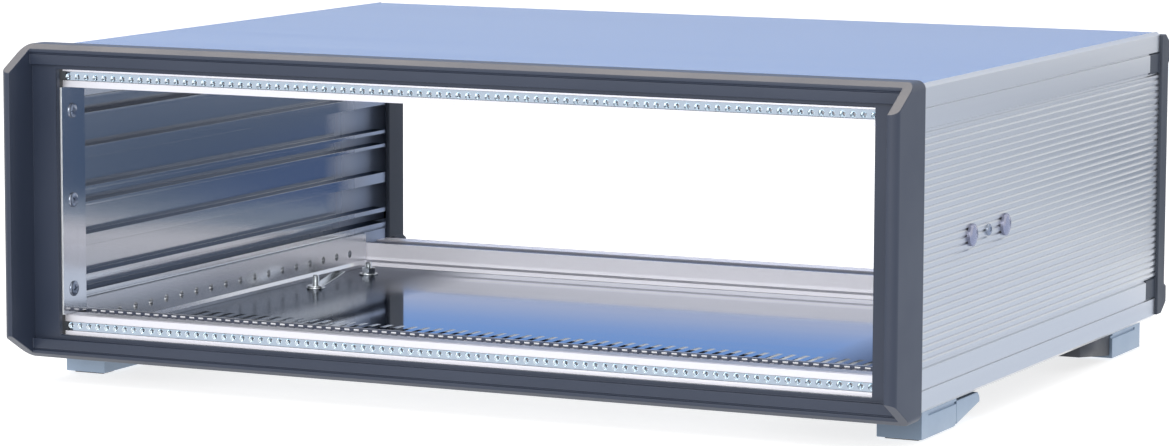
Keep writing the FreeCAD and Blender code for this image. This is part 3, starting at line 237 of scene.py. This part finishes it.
def drawn_metal(name, colour, shade, axis, roughness, depth, metallic=1.0):
    """Extruded, rolled or brushed metal with its grain along one axis."""
    finish = Finish(name, colour, roughness, metallic=metallic)
    grain = finish.noise(grain_along(axis, 9.0, 1600.0), detail=4.0, roughness=0.7)
    streaks = finish.noise(grain_along(axis, 2.5, 130.0))
    finish.vary_colour(streaks, shade, 0.3, 0.8)
    finish.vary_roughness(streaks, roughness * 0.92, roughness * 1.08)
    return finish.relief((grain, depth)) if depth else finish


def plated_metal(name, colour, shade, roughness, depth=0.000003):
    """Zinc plating: bright and faintly blotched."""
    finish = Finish(name, colour, roughness, metallic=1.0)
    blotches = finish.noise(even(420.0), detail=4.0)
    crystals = finish.noise(even(2600.0))
    finish.vary_colour(blotches, shade, 0.35, 0.75)
    finish.vary_roughness(blotches, roughness * 0.85, roughness * 1.2)
    return finish.relief((crystals, depth))


def moulding(name, colour, shade, roughness, depth=0.000010, per_metre=2300.0, **sockets):
    """Moulded plastic with an eroded fine texture."""
    finish = Finish(name, colour, roughness, **sockets)
    clouds = finish.noise(even(45.0), detail=4.0)
    erosion = finish.noise(even(per_metre), detail=4.0, roughness=0.65)
    finish.vary_colour(clouds, shade, 0.3, 0.75)
    finish.vary_roughness(clouds, roughness - 0.05, roughness + 0.06)
    return finish.relief((erosion, depth))


def paint(name, colour, shade, roughness):
    """Satin powder coat with a fine orange peel."""
    finish = Finish(name, colour, roughness, IOR=1.5)
    peel = finish.noise(even(900.0), detail=2.0)
    dust = finish.noise(even(4200.0), detail=2.0)
    clouds = finish.noise(even(18.0))
    finish.vary_colour(clouds, shade, 0.3, 0.75)
    finish.vary_roughness(clouds, roughness - 0.04, roughness + 0.05)
    return finish.relief((peel, 0.000014), (dust, 0.000004))


def side_finish():
    """Satin outside; glossy inside, with painted shade on the faces in its grooves and a painted blue
    reflection, rougher, on the inner faces at the rear end.
    """
    finish = drawn_metal("side_anodised", (0.70, 0.71, 0.72), (0.67, 0.68, 0.70), "y", 0.30, 0.000003)
    groove_shade = finish.zone("x", 0.0, 200.0, 227.2)
    faces = finish.inward()
    rear = finish.both(finish.ramp("y", 110.0, 150.0), finish.zone("y", 155.0, 0.0, 45.0))
    # Painted shade: dark faces in the grooves, with a blue edge tint
    finish.patch(groove_shade, (0.07, 0.08, 0.10), 0.2, edge=(0.22, 0.26, 0.34))
    finish.patch(faces, (0.70, 0.71, 0.72), 0.14, edge=(1.0, 1.0, 1.0))
    # Painted reflection: the inner faces turn blue, rougher and less metallic towards the rear end
    return finish.patch(finish.both(faces, rear), (0.36, 0.44, 0.62), 0.4, 0.15)


def plug_finish():
    """Grey cap over a darker rim."""
    finish = plated_metal("plug_cap", (0.40, 0.41, 0.52), (0.36, 0.37, 0.48), 0.26)
    return finish.patch(finish.zone("x", 0.0, 220.0, 230.6), (0.24, 0.25, 0.33))


def flange_finish():
    """Brushed upright, with a matt sawn edge to the front."""
    finish = drawn_metal("flange_brushed", (0.76, 0.77, 0.79), (0.70, 0.71, 0.74), "z", 0.10, 0.000001)
    return finish.patch(finish.frontward(), (0.90, 0.93, 0.97), 0.6, 0.0)


def rail_finish():
    """Matt white anodising, with painted light: painted shade darkens the sunk band, a painted highlight
    stands for the lit wall behind each guide slot, and a painted glow lights the front faces of the rear rails
    and of the rails' outer lips.
    """
    finish = drawn_metal("rail_anodised", (0.88, 0.87, 0.92), (0.85, 0.84, 0.89), "x", 0.42, 0.000003,
                         metallic=0.7)
    # Colour of the painted glow on the rails' front faces
    finish.shader.inputs["Emission Color"].default_value = (0.93, 0.92, 1.0, 1.0)
    fronts = finish.frontward()
    rear_rail_glow = finish.zone("y", 150.0, 0.0, 13.0)
    outer_lip_glow = finish.zone("z", MIDDLE, 63.8, 69.0)
    band_shade = finish.both(finish.zone("z", MIDDLE, 55.8, 57.3), finish.zone("y", RAIL_CENTRE, 145.0, 158.4))
    highlight_wall = finish.both(finish.zone("z", MIDDLE, 56.25, 56.95), finish.zone("y", RAIL_CENTRE, 147.5, 148.5))
    slot_highlights = finish.dashes("x", MODULE / 2, MODULE, 2.7)
    # Painted light: the rear rails' front faces are lighter and glow, and the outer lips' front faces glow
    finish.patch(finish.both(fronts, rear_rail_glow), (0.92, 0.91, 0.97), 0.6, 0.15, glow=0.17)
    finish.patch(finish.both(fronts, outer_lip_glow), glow=0.32)
    # Painted shade in the sunk band
    finish.patch(band_shade, (0.085, 0.10, 0.15), 0.4, 0.2)
    # Painted highlight: a light dash on the band's rear wall behind each guide slot
    return finish.patch(finish.both(highlight_wall, slot_highlights), (0.95, 0.95, 0.98), 0.6, 0.0)


def plate_finish():
    """Bright rolled sheet, with painted shade that darkens it and dulls its gloss towards the sides."""
    finish = drawn_metal("plate_bright", (0.63, 0.66, 0.71), (0.61, 0.64, 0.69), "x", 0.06, 0.0)
    # Painted shade towards the side walls
    return finish.patch(finish.ramp("x", 135.0, 172.0), (0.30, 0.32, 0.35), 0.2, edge=(0.42, 0.44, 0.48))


def foot_finish():
    """Pale moulding, with painted shade on the front faces of the right-hand feet."""
    finish = moulding("foot_pale", (0.30, 0.385, 0.50), (0.275, 0.355, 0.47), 0.46)
    # Painted shade on the front faces of the right-hand feet
    right_front_shade = finish.both(finish.frontward(), finish.zone("x", 216.0, 0.0, 13.0))
    return finish.patch(right_front_shade, (0.15, 0.205, 0.28))


FINISHES = {
    "bezel_paint": paint("bezel_paint_satin", (0.024, 0.033, 0.058), (0.028, 0.038, 0.066), 0.40),
    "side_aluminium": side_finish(),
    "cover_aluminium": drawn_metal("cover_anodised", (0.85, 0.87, 0.88), (0.84, 0.86, 0.87), "x", 0.22,
                                   0.000002),
    "plate_aluminium": plate_finish(),
    "rail_aluminium": rail_finish(),
    "insert_steel": plated_metal("insert_zinc", (0.78, 0.86, 0.91), (0.71, 0.78, 0.84), 0.09, 0.000001),
    "strip_steel": drawn_metal("strip_zinc", (0.76, 0.77, 0.79), (0.73, 0.74, 0.77), "y", 0.24, 0.0),
    "flange_aluminium": flange_finish(),
    "block_plastic": moulding("block_black", (0.010, 0.010, 0.012), (0.016, 0.016, 0.018), 0.42),
    "trim_plastic": moulding("trim_dark", (0.026, 0.034, 0.052), (0.032, 0.041, 0.061), 0.46),
    "plug_metal": plug_finish(),
    "screw_steel": plated_metal("screw_zinc", (0.36, 0.40, 0.48), (0.29, 0.33, 0.41), 0.22),
    "foot_plastic": foot_finish(),
    "wedge_plastic": moulding("wedge_dark", (0.022, 0.025, 0.034), (0.028, 0.032, 0.042), 0.5),
    "pad_rubber": moulding("pad_black", (0.016, 0.016, 0.018), (0.026, 0.026, 0.028), 0.75, 0.00003, 1500.0),
    "stud_steel": plated_metal("stud_zinc", (0.80, 0.82, 0.83), (0.70, 0.73, 0.74), 0.14),
}


def dress_nodes():
    """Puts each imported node's finish into its object's own material slots."""
    for name, obj in nodes.items():
        for material_slot in obj.material_slots:
            material_slot.link = "OBJECT"
            material_slot.material = FINISHES[NODE_SLOTS[name]].material


# Softened edges

def smooth_group():
    """Geometry nodes that set every face smooth."""
    group = bpy.data.node_groups.new("all_smooth", "GeometryNodeTree")
    group.interface.new_socket("Geometry", in_out="INPUT", socket_type="NodeSocketGeometry")
    group.interface.new_socket("Geometry", in_out="OUTPUT", socket_type="NodeSocketGeometry")
    source = group.nodes.new("NodeGroupInput")
    smooth = group.nodes.new("GeometryNodeSetShadeSmooth")
    target = group.nodes.new("NodeGroupOutput")
    group.links.new(source.outputs[0], smooth.inputs["Geometry"])
    group.links.new(smooth.outputs["Geometry"], target.inputs[0])
    return group


def soften(obj, width, smooth):
    """Rounds an object's sharp edges by modifiers, which leave its mesh as it is."""
    weld = obj.modifiers.new("join_faces", "WELD")
    weld.merge_threshold = 0.000002
    flat = obj.modifiers.new("one_face_a_plane", "DECIMATE")
    flat.decimate_type = "DISSOLVE"
    flat.angle_limit = math.radians(0.4)
    bevel = obj.modifiers.new("edge_round", "BEVEL")
    bevel.width = width
    bevel.segments = 2
    bevel.limit_method = "ANGLE"
    bevel.angle_limit = math.radians(28)
    bevel.use_clamp_overlap = False
    bevel.miter_outer = "MITER_ARC"
    shade = obj.modifiers.new("all_smooth", "NODES")
    shade.node_group = smooth
    normals = obj.modifiers.new("face_normals", "WEIGHTED_NORMAL")
    normals.mode = "FACE_AREA"
    normals.weight = 100
    normals.keep_sharp = False


# Widths in millimetres, with the nodes whose edges get them.
EDGE_ROUNDS = {
    0.5: ("rear_trim_left", "rear_trim_right"),
    0.35: ("front_bezel", "front_foot_left", "front_foot_right", "rear_foot_left", "rear_foot_right",
           "tilt_foot_left", "tilt_foot_right"),
    0.3: ("top_cover", "foot_pads"),
    0.2: ("flange_left", "flange_right", "rail_end_blocks"),
    0.12: ("side_panel_left", "side_panel_right", "earth_tab", "earth_washer", "plate_washer"),
}


def soften_nodes():
    smooth = smooth_group()
    for width, names in EDGE_ROUNDS.items():
        for name in names:
            soften(nodes[name], width * MM, smooth)


# Detailed pieces

def add_object(name, data):
    obj = bpy.data.objects.new(name, data)
    bpy.context.scene.collection.objects.link(obj)
    return obj


def mesh_object(name, points, faces):
    mesh = bpy.data.meshes.new(name)
    mesh.from_pydata(points, [], faces)
    return add_object(name, mesh)


class Shape:
    """Gathers points and faces of one piece."""

    def __init__(self):
        self.points = []
        self.faces = []

    def add(self, points, faces, place=Matrix(), mirrored=False):
        base = len(self.points)
        self.points += [place @ Vector(point) for point in points]
        for face in faces:
            numbers = [base + number for number in face]
            self.faces.append(numbers[::-1] if mirrored else numbers)

    def piece(self, name, slot, *stands_for, body="case", sharp=35):
        """Makes the piece, with edges over the sharp angle kept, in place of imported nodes."""
        obj = mesh_object(name, [point * MM for point in self.points], self.faces)
        mesh = obj.data
        work = bmesh.new()
        work.from_mesh(mesh)
        bmesh.ops.remove_doubles(work, verts=work.verts, dist=0.000001)
        work.to_mesh(mesh)
        work.free()
        mesh.polygons.foreach_set("use_smooth", [True] * len(mesh.polygons))
        mesh.set_sharp_from_angle(angle=math.radians(sharp))
        mesh.materials.append(FINISHES[slot].material)
        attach(obj, body)
        if stands_for:
            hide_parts(*stands_for)


def aim(direction, place):
    """Turns +z to a direction and moves the origin to a place."""
    turn = Vector((0, 0, 1)).rotation_difference(Vector(direction))
    return Matrix.Translation(place) @ turn.to_matrix().to_4x4()


def spin(degrees):
    return Matrix.Rotation(math.radians(degrees), 4, "Z")


def joined(rings):
    """Faces between neighbouring rings of point numbers; a ring may be one point over again."""
    faces = []
    for low, high in zip(rings, rings[1:]):
        for step in range(len(low)):
            after = (step + 1) % len(low)
            faces.append(list(dict.fromkeys((low[step], low[after], high[after], high[step]))))
    return faces


def numbered(rings):
    """One list of points for rings of equal length, and each ring's point numbers."""
    size = len(rings[0])
    numbers = [range(size * ring, size * (ring + 1)) for ring in range(len(rings))]
    return [point for ring in rings for point in ring], numbers


def turned(profile, sides):
    """Turns pairs of radius and height about z, outer skin first from below."""
    points, rings = [], []
    for radius, height in profile:
        first = len(points)
        if radius == 0:
            points.append((0.0, 0.0, height))
            rings.append([first] * sides)
            continue
        for number in range(sides):
            angle = 2 * math.pi * number / sides
            points.append((radius * math.cos(angle), radius * math.sin(angle), height))
        rings.append(list(range(first, first + sides)))
    return points, joined(rings)


# Radius and depth of a countersunk hole with its thread's ridges.
HOLE = [(1.58, 0.0), (1.30, 0.26), (1.28, 0.34)] + [
    (1.04 if step % 2 else 1.27, 0.34 + 0.225 * step) for step in range(1, 10)] + [(1.30, INSERT_DEPTH)]
RIM_STEPS = 4          # parts of each side of a module's square rim
HOLE_SIDES = 4 * RIM_STEPS


def tapped_cell(left, right, low, high, row):
    """One module of a tapped strip: x, depth behind the face, and height."""
    corners = [(right, low), (right, high), (left, high), (left, low)]
    rim = []
    for start, end in zip(corners, corners[1:] + corners[:1]):
        for step in range(RIM_STEPS):
            part = step / RIM_STEPS
            rim.append((start[0] + (end[0] - start[0]) * part, start[1] + (end[1] - start[1]) * part))
    middle = (left + right) / 2
    rings = [[(x, 0.0, z) for x, z in rim]]
    for radius, depth in HOLE:
        turns = [math.radians(360 / HOLE_SIDES * step - 45) for step in range(HOLE_SIDES)]
        rings.append([(middle + radius * math.cos(turn), depth, row + radius * math.sin(turn))
                      for turn in turns])
    rings.append([(x, INSERT_DEPTH, z) for x, z in rim])
    points, numbers = numbered(rings)
    return points, joined(numbers)


def tapped_strip(name, level, half, face, inward):
    """Strip with a tapped hole for every module, seen from its countersunk face."""
    shape = Shape()
    low, high = INSERT_LEVELS[level]
    place = Matrix.Translation((0, face, 0)) @ Matrix.Diagonal((1, inward, 1, 1))
    reach = MODULES / 2 * MODULE

    def quad(corners, order):
        shape.add(corners[::order], [(0, 1, 2, 3)], place, inward < 0)

    for module in range(MODULES):
        left = module * MODULE - reach
        shape.add(*tapped_cell(left, left + MODULE, low, high, ROWS[level]), place, inward < 0)
    for start, end in ((-half, -reach), (reach, half)):
        for depth, order in ((0.0, 1), (INSERT_DEPTH, -1)):
            quad([(start, depth, low), (end, depth, low), (end, depth, high), (start, depth, high)], order)
    rim = [step * MODULE / RIM_STEPS - reach for step in range(MODULES * RIM_STEPS + 1)]
    stations = [-half, *rim, half]
    for start, end in zip(stations, stations[1:]):
        for height, order in ((low, -1), (high, 1)):
            quad([(start, 0, height), (end, 0, height), (end, INSERT_DEPTH, height),
                  (start, INSERT_DEPTH, height)], order)
    for station, order in ((-half, 1), (half, -1)):
        quad([(station, 0, low), (station, 0, high), (station, INSERT_DEPTH, high),
              (station, INSERT_DEPTH, low)], order)
    shape.piece(f"{name}_{level}_tapped", "insert_steel", f"{name}_{level}")


def tapped_strips():
    for level in ROWS:
        for name, (half, face, inward) in INSERTS.items():
            tapped_strip(name, level, half, face, inward)


def upper_strips():
    """The lower strips' mirror images, with their holes."""
    for side in ("left", "right"):
        source = nodes[f"lower_strip_{side}"].data
        points = [(v.co.x / MM, v.co.y / MM, 2 * MIDDLE - v.co.z / MM) for v in source.vertices]
        shape = Shape()
        shape.add(points, [tuple(p.vertices) for p in source.polygons], mirrored=True)
        shape.piece(f"upper_strip_{side}_drilled", "strip_steel", f"upper_strip_{side}")


def cross_cutter(reach, width, depth, top):
    """Plus-shaped wedge that sinks a cross recess into a head whose crown is at the top height."""
    rings = []
    for scale, height in ((1.0, 0.6), (1.0, 0.0), (0.35, -depth)):
        arm, half = reach * scale, width / 2 * (0.5 + scale / 2)
        outline = [(arm, -half), (arm, half), (half, half), (half, arm), (-half, arm), (-half, half),
                   (-arm, half), (-arm, -half), (-half, -half), (-half, -arm), (half, -arm), (half, -half)]
        rings.append([(x, y, height + top) for x, y in outline])
    points, numbers = numbered(rings)
    ends = [tuple(numbers[0]), tuple(numbers[-1][::-1])]
    return points, ends + [(b, a, d, c) for a, b, c, d in joined(numbers)]


def cross_head(profile, reach, width, depth):
    """Points and faces of a turned screw with a cross recess in its crown."""
    crown = profile[-1][1]
    body = mesh_object("screw_blank", *turned(profile, 48))
    cutter = mesh_object("screw_cutter", *cross_cutter(reach, width, depth, crown))
    recess = body.modifiers.new("recess", "BOOLEAN")
    recess.operation = "DIFFERENCE"
    recess.solver = "EXACT"
    recess.object = cutter
    graph = bpy.context.evaluated_depsgraph_get()
    mesh = bpy.data.meshes.new_from_object(body.evaluated_get(graph))
    result = [tuple(v.co) for v in mesh.vertices], [tuple(p.vertices) for p in mesh.polygons]
    for obj in (body, cutter):
        bpy.data.objects.remove(obj)
    bpy.data.meshes.remove(mesh)
    return result


# Radius and height of each screw, from its tip to its crown, with z = 0 under the head.
FLANGE_SCREW = [(0, -6.5), (2.0, -6.5), (2.0, 0), (3.8, 0), (3.8, 0.3), (3.68, 0.5), (3.3, 0.7), (2.5, 0.84),
                (1.4, 0.9), (0, 0.9)]
SIDE_SCREW = [(0, -4.0), (1.5, -4.0), (1.5, 0), (2.85, 0), (2.85, 0.7), (2.74, 0.98), (2.4, 1.24), (1.8, 1.42),
              (1.0, 1.5), (0, 1.5)]
FOOT_SCREW = [(0, -11.1), (2.0, -11.1), (2.0, 0), (3.5, 0), (3.5, 1.2), (3.36, 1.7), (2.9, 2.1), (2.1, 2.32),
              (1.1, 2.4), (0, 2.4)]
PLUG = [(0, -4.0), (4.0, -4.0), (4.0, 0), (5.3, 0), (5.3, 1.1), (5.22, 1.3), (5.05, 1.38), (4.95, 1.3),
        (4.85, 1.3), (4.75, 1.5), (4.4, 1.85), (3.7, 2.15), (2.8, 2.38), (1.5, 2.55), (0, 2.6)]
BLOCK_RING = [(1.5, 0.0), (1.5, 0.25), (1.35, 0.4), (0.85, 0.4), (0.7, 0.25), (0.7, 0.0)]


def fittings(name, slot, form, places, *stands_for):
    """One form, as points and faces, at several places."""
    shape = Shape()
    for place in places:
        shape.add(*form, place)
    shape.piece(name, slot, *stands_for)


def screws():
    fittings("flange_screws_cross", "screw_steel", cross_head(FLANGE_SCREW, 1.9, 0.75, 0.75),
             [aim((-side, 0, 0), (side * FLANGE_FACE, FLANGE_STATION, height)) @ spin(20 + 37 * number)
              for side in (-1, 1) for number, height in enumerate(FLANGE_LEVELS)], "flange_screws")
    fittings("side_screws_cross", "screw_steel", cross_head(SIDE_SCREW, 1.45, 0.6, 0.7),
             [aim((side, 0, 0), (side * PANEL_FACE, SIDE_SCREW_STATION, MIDDLE)) @ Matrix.Rotation(0.6, 4, "Z")
              for side in (-1, 1)], "side_screws")
    fittings("foot_screws_cross", "screw_steel", cross_head(FOOT_SCREW, 1.9, 0.8, 1.4),
             [aim((0, 0, -1), (side * FOOT_SCREW_X, station, FOOT_SCREW_Z))
              for side in (-1, 1) for station in FOOT_STATIONS], "foot_screws")


def plugs():
    """Domed plugs that press into the side panels, with a seam round the dome."""
    fittings("side_plugs_domed", "plug_metal", turned(PLUG, 72),
             [aim((side, 0, 0), (side * PANEL_FACE, station, MIDDLE))
              for side in (-1, 1) for station in PLUG_STATIONS], "side_plugs")


def threaded(height, major=2.0, minor=1.66, pitch=0.7):
    """Profile of a threaded rod with a chamfered tip."""
    profile = [(0, 0), (minor, 0)]
    for turn in range(int((height - 0.6) / pitch)):
        base = 0.1 + turn * pitch
        profile += [(minor, base), (major, base + 0.3), (major, base + 0.4), (minor, base + 0.7)]
    return profile + [(minor, height - 0.35), (minor - 0.35, height), (0, height)]


def nut(flats, height, bore):
    """Hexagon nut whose corners are cut back by a cone, top and bottom."""
    sides, half, lip, slope = 48, flats / 2, 0.06, 0.58
    rings = []

    def ring(place):
        """A ring whose radius and level depend on the hexagon's reach at each angle."""
        points = []
        for step in range(sides):
            angle = 2 * math.pi * step / sides
            radius, level = place(half / math.cos((angle % (math.pi / 3)) - math.pi / 6))
            points.append((radius * math.cos(angle), radius * math.sin(angle), level))
        rings.append(points)

    ring(lambda corner: (bore, 0.0))
    ring(lambda corner: (half - lip, 0.0))
    ring(lambda corner: (corner, (corner - half + lip) * slope))
    ring(lambda corner: (corner, height - (corner - half + lip) * slope))
    ring(lambda corner: (half - lip, height))
    ring(lambda corner: (bore + 0.35, height))
    ring(lambda corner: (bore, height - 0.35))
    ring(lambda corner: (bore, 0.0))
    points, numbers = numbered(rings)
    return points, joined(numbers)


def stud_and_bolt():
    for name, place, height in (("earth_stud", STUD_PLACE, 7.3), ("plate_bolt", BOLT_PLACE, 7.0)):
        fittings(f"{name}_threaded", "stud_steel", turned(threaded(height), 32),
                 [Matrix.Translation((*place, PLATE_TOP))], name)
    fittings("plate_nut_chamfered", "stud_steel", nut(7.0, 3.2, 2.1),
             [Matrix.Translation((*BOLT_PLACE, PLATE_TOP + WASHER))], "plate_nut")


def block_rings():
    """Small raised rings on the end blocks' plates."""
    fittings("end_block_rings", "block_plastic", turned(BLOCK_RING, 28),
             [aim((0, -1, 0), (side * BLOCK_X, BLOCK_FACE, MIDDLE + level * (RAIL_FACE + offset)))
              for side in (-1, 1) for level in (-1, 1) for offset in BLOCK_RING_OFFSETS])


WEDGE_OUTLINE = [(73.6, 13.6), (73.6, 8.6), (74.4, 7.8), (120.2, 2.5), (121.0, 3.1), (121.0, 13.6)]   # y, z
WEDGE_MIDDLE = Vector((97.3, 9.8))
WEDGE_ROUND = 0.6
WEDGE_ENDS = (207.5, 226.0)


def wedges():
    """Dark wedges in front of the rear feet, wide under the panel's edge."""
    inner, outer = WEDGE_ENDS
    stations = [(inner, WEDGE_ROUND), (inner + WEDGE_ROUND, 0.0), (outer - WEDGE_ROUND, 0.0),
                (outer, WEDGE_ROUND)]
    for side, word in ((-1, "left"), (1, "right")):
        rings = []
        for across, shrink in stations:
            ring = []
            for y, z in WEDGE_OUTLINE:
                inset = (Vector((y, z)) - WEDGE_MIDDLE).normalized() * shrink
                ring.append((side * across, y - inset.x, z - inset.y))
            rings.append(ring)
        points, numbers = numbered(rings)
        ends = [tuple(numbers[0])[::-1], tuple(numbers[-1])]
        shape = Shape()
        shape.add(points, joined(numbers) + ends, mirrored=side > 0)
        shape.piece(f"rear_wedge_{word}_wide", "wedge_plastic", f"rear_wedge_{word}", sharp=50)


# Studio, in metres

def level_card(height, *places):
    """Corners of a card that lies level."""
    return [(x, y, height) for x, y in places]


def standing_card(start, end, low, high):
    """Corners of a card that stands over two places of the floor."""
    return [(*start, low), (*end, low), (*end, high), (*start, high)]


SHEET = 0.004          # height of the cards that lie on the floor
CARDS = {
    "pale_backdrop": (standing_card((-4.0, 3.0), (0.4, 3.0), 0.10, 0.50), (0.52, 0.55, 0.68)),
    "blue_backdrop": (standing_card((-4.0, 3.0), (0.4, 3.0), 0.50, 1.5), (0.165, 0.34, 0.73)),
    "front_sheet": (level_card(SHEET, (-2.0, -2.4), (0.3, -2.4), (0.3, -0.24), (-0.9, -0.24)),
                    (0.66, 0.71, 0.80)),
    "near_sheet": (level_card(SHEET, (0.20, 0.215), (0.27, 0.44), (0.10, 0.46), (-0.35, 0.50), (-0.35, 0.215)),
                   (0.22, 0.27, 0.35)),
    "grey_sheet": (level_card(SHEET, (0.27, 0.44), (1.00, 1.60), (0.45, 1.80), (0.10, 0.46)),
                   (0.065, 0.10, 0.175)),
    "blue_sheet": (level_card(SHEET, (0.10, 0.46), (0.45, 1.80), (0.10, 1.80), (-0.35, 0.52)),
                   (0.060, 0.105, 0.235)),
    "side_sheet": (level_card(0.003, (0.235, -0.40), (2.60, -0.40), (2.60, 3.0), (1.35, 2.6), (0.235, 0.25)),
                   (0.72, 0.79, 0.92)),
    "side_backdrop": (standing_card((1.0, 2.4), (4.0, 1.6), 0.0, 1.6), (0.74, 0.80, 0.92)),
    "warm_panel": ([(-1.3, 0.05, 1.45), (0.1, 0.05, 1.45), (0.1, 0.75, 1.35), (-1.3, 0.75, 1.35)],
                   (5.0, 4.5, 3.95)),
    "under_case_shade": (level_card(0.001, (-0.17, -0.075), (0.16, -0.075), (0.16, 0.12), (-0.17, 0.12)),
                         (0.02, 0.022, 0.03)),
}
SEEN_CARDS = ("under_case_shade",)


def card(name, corners, colour):
    """Flat glowing card that bright metal mirrors; the camera sees only those in SEEN_CARDS."""
    obj = mesh_object(name, corners, [tuple(range(len(corners)))])
    material = bpy.data.materials.new(name)
    material.use_nodes = True
    tree = material.node_tree
    tree.nodes.clear()
    light = tree.nodes.new("ShaderNodeEmission")
    light.inputs["Color"].default_value = (*colour, 1.0)
    output = tree.nodes.new("ShaderNodeOutputMaterial")
    tree.links.new(light.outputs["Emission"], output.inputs["Surface"])
    obj.data.materials.append(material)
    obj.visible_camera = name in SEEN_CARDS
    obj.visible_diffuse = False
    obj.visible_shadow = False


def soft_light(name, place, target, size, power):
    light = bpy.data.lights.new(name, "AREA")
    light.shape = "RECTANGLE"
    light.size, light.size_y = size
    light.energy = power
    obj = add_object(name, light)
    obj.location = place
    obj.rotation_euler = (Vector(target) - Vector(place)).to_track_quat("-Z", "Y").to_euler()


def floor(reach=12.0):
    corners = [(-reach, -reach, 0), (reach, -reach, 0), (reach, reach, 0), (-reach, reach, 0)]
    obj = mesh_object("floor", corners, [(0, 1, 2, 3)])
    pale = moulding("floor_pale", (0.42, 0.42, 0.42), (0.41, 0.41, 0.41), 0.8, 0.00001, 400.0,
                    Emission_Color=(1.0, 1.0, 1.0, 1.0), Emission_Strength=0.74)
    obj.data.materials.append(pale.material)


def studio():
    scene = bpy.context.scene
    scene.view_settings.view_transform = "Standard"
    scene.view_settings.look = "None"
    world = bpy.data.worlds.new("studio_white")
    world.use_nodes = True
    background = world.node_tree.nodes["Background"]
    background.inputs["Color"].default_value = (1.0, 1.0, 1.0, 1.0)
    background.inputs["Strength"].default_value = 1.0
    scene.world = world
    floor()
    soft_light("top_softbox", (-0.3, 0.3, 2.0), (0, 0, 0.1), (2.2, 1.8), 20.0)
    soft_light("front_softbox", (0.1, -2.0, 0.75), (0, 0, 0.05), (1.6, 1.0), 15.0)
    for name, (corners, colour) in CARDS.items():
        card(name, corners, colour)


# Camera, found from the rows of tapped holes

CAMERA_PLACE = (0.90897, -1.94620, 0.33500)
CAMERA_TURNS = (25.351, -7.004, -0.204)   # about z, then x, then y, in degrees
SENSOR = 36.0
FOCAL = 132.0


def camera():
    data = bpy.data.cameras.new("photo_camera")
    data.sensor_width = SENSOR
    data.lens = FOCAL
    obj = add_object("photo_camera", data)
    yaw, pitch, roll = (math.radians(turn) for turn in CAMERA_TURNS)
    level = Matrix.Rotation(math.radians(90), 4, "X")
    obj.matrix_world = (
        Matrix.Translation(CAMERA_PLACE)
        @ Matrix.Rotation(yaw, 4, "Z") @ Matrix.Rotation(pitch, 4, "X") @ Matrix.Rotation(roll, 4, "Y")
        @ level)
    bpy.context.scene.camera = obj


dress_nodes()
soften_nodes()
tapped_strips()
upper_strips()
screws()
plugs()
stud_and_bolt()
block_rings()
wedges()
studio()
camera()

bpy.context.view_layer.update()
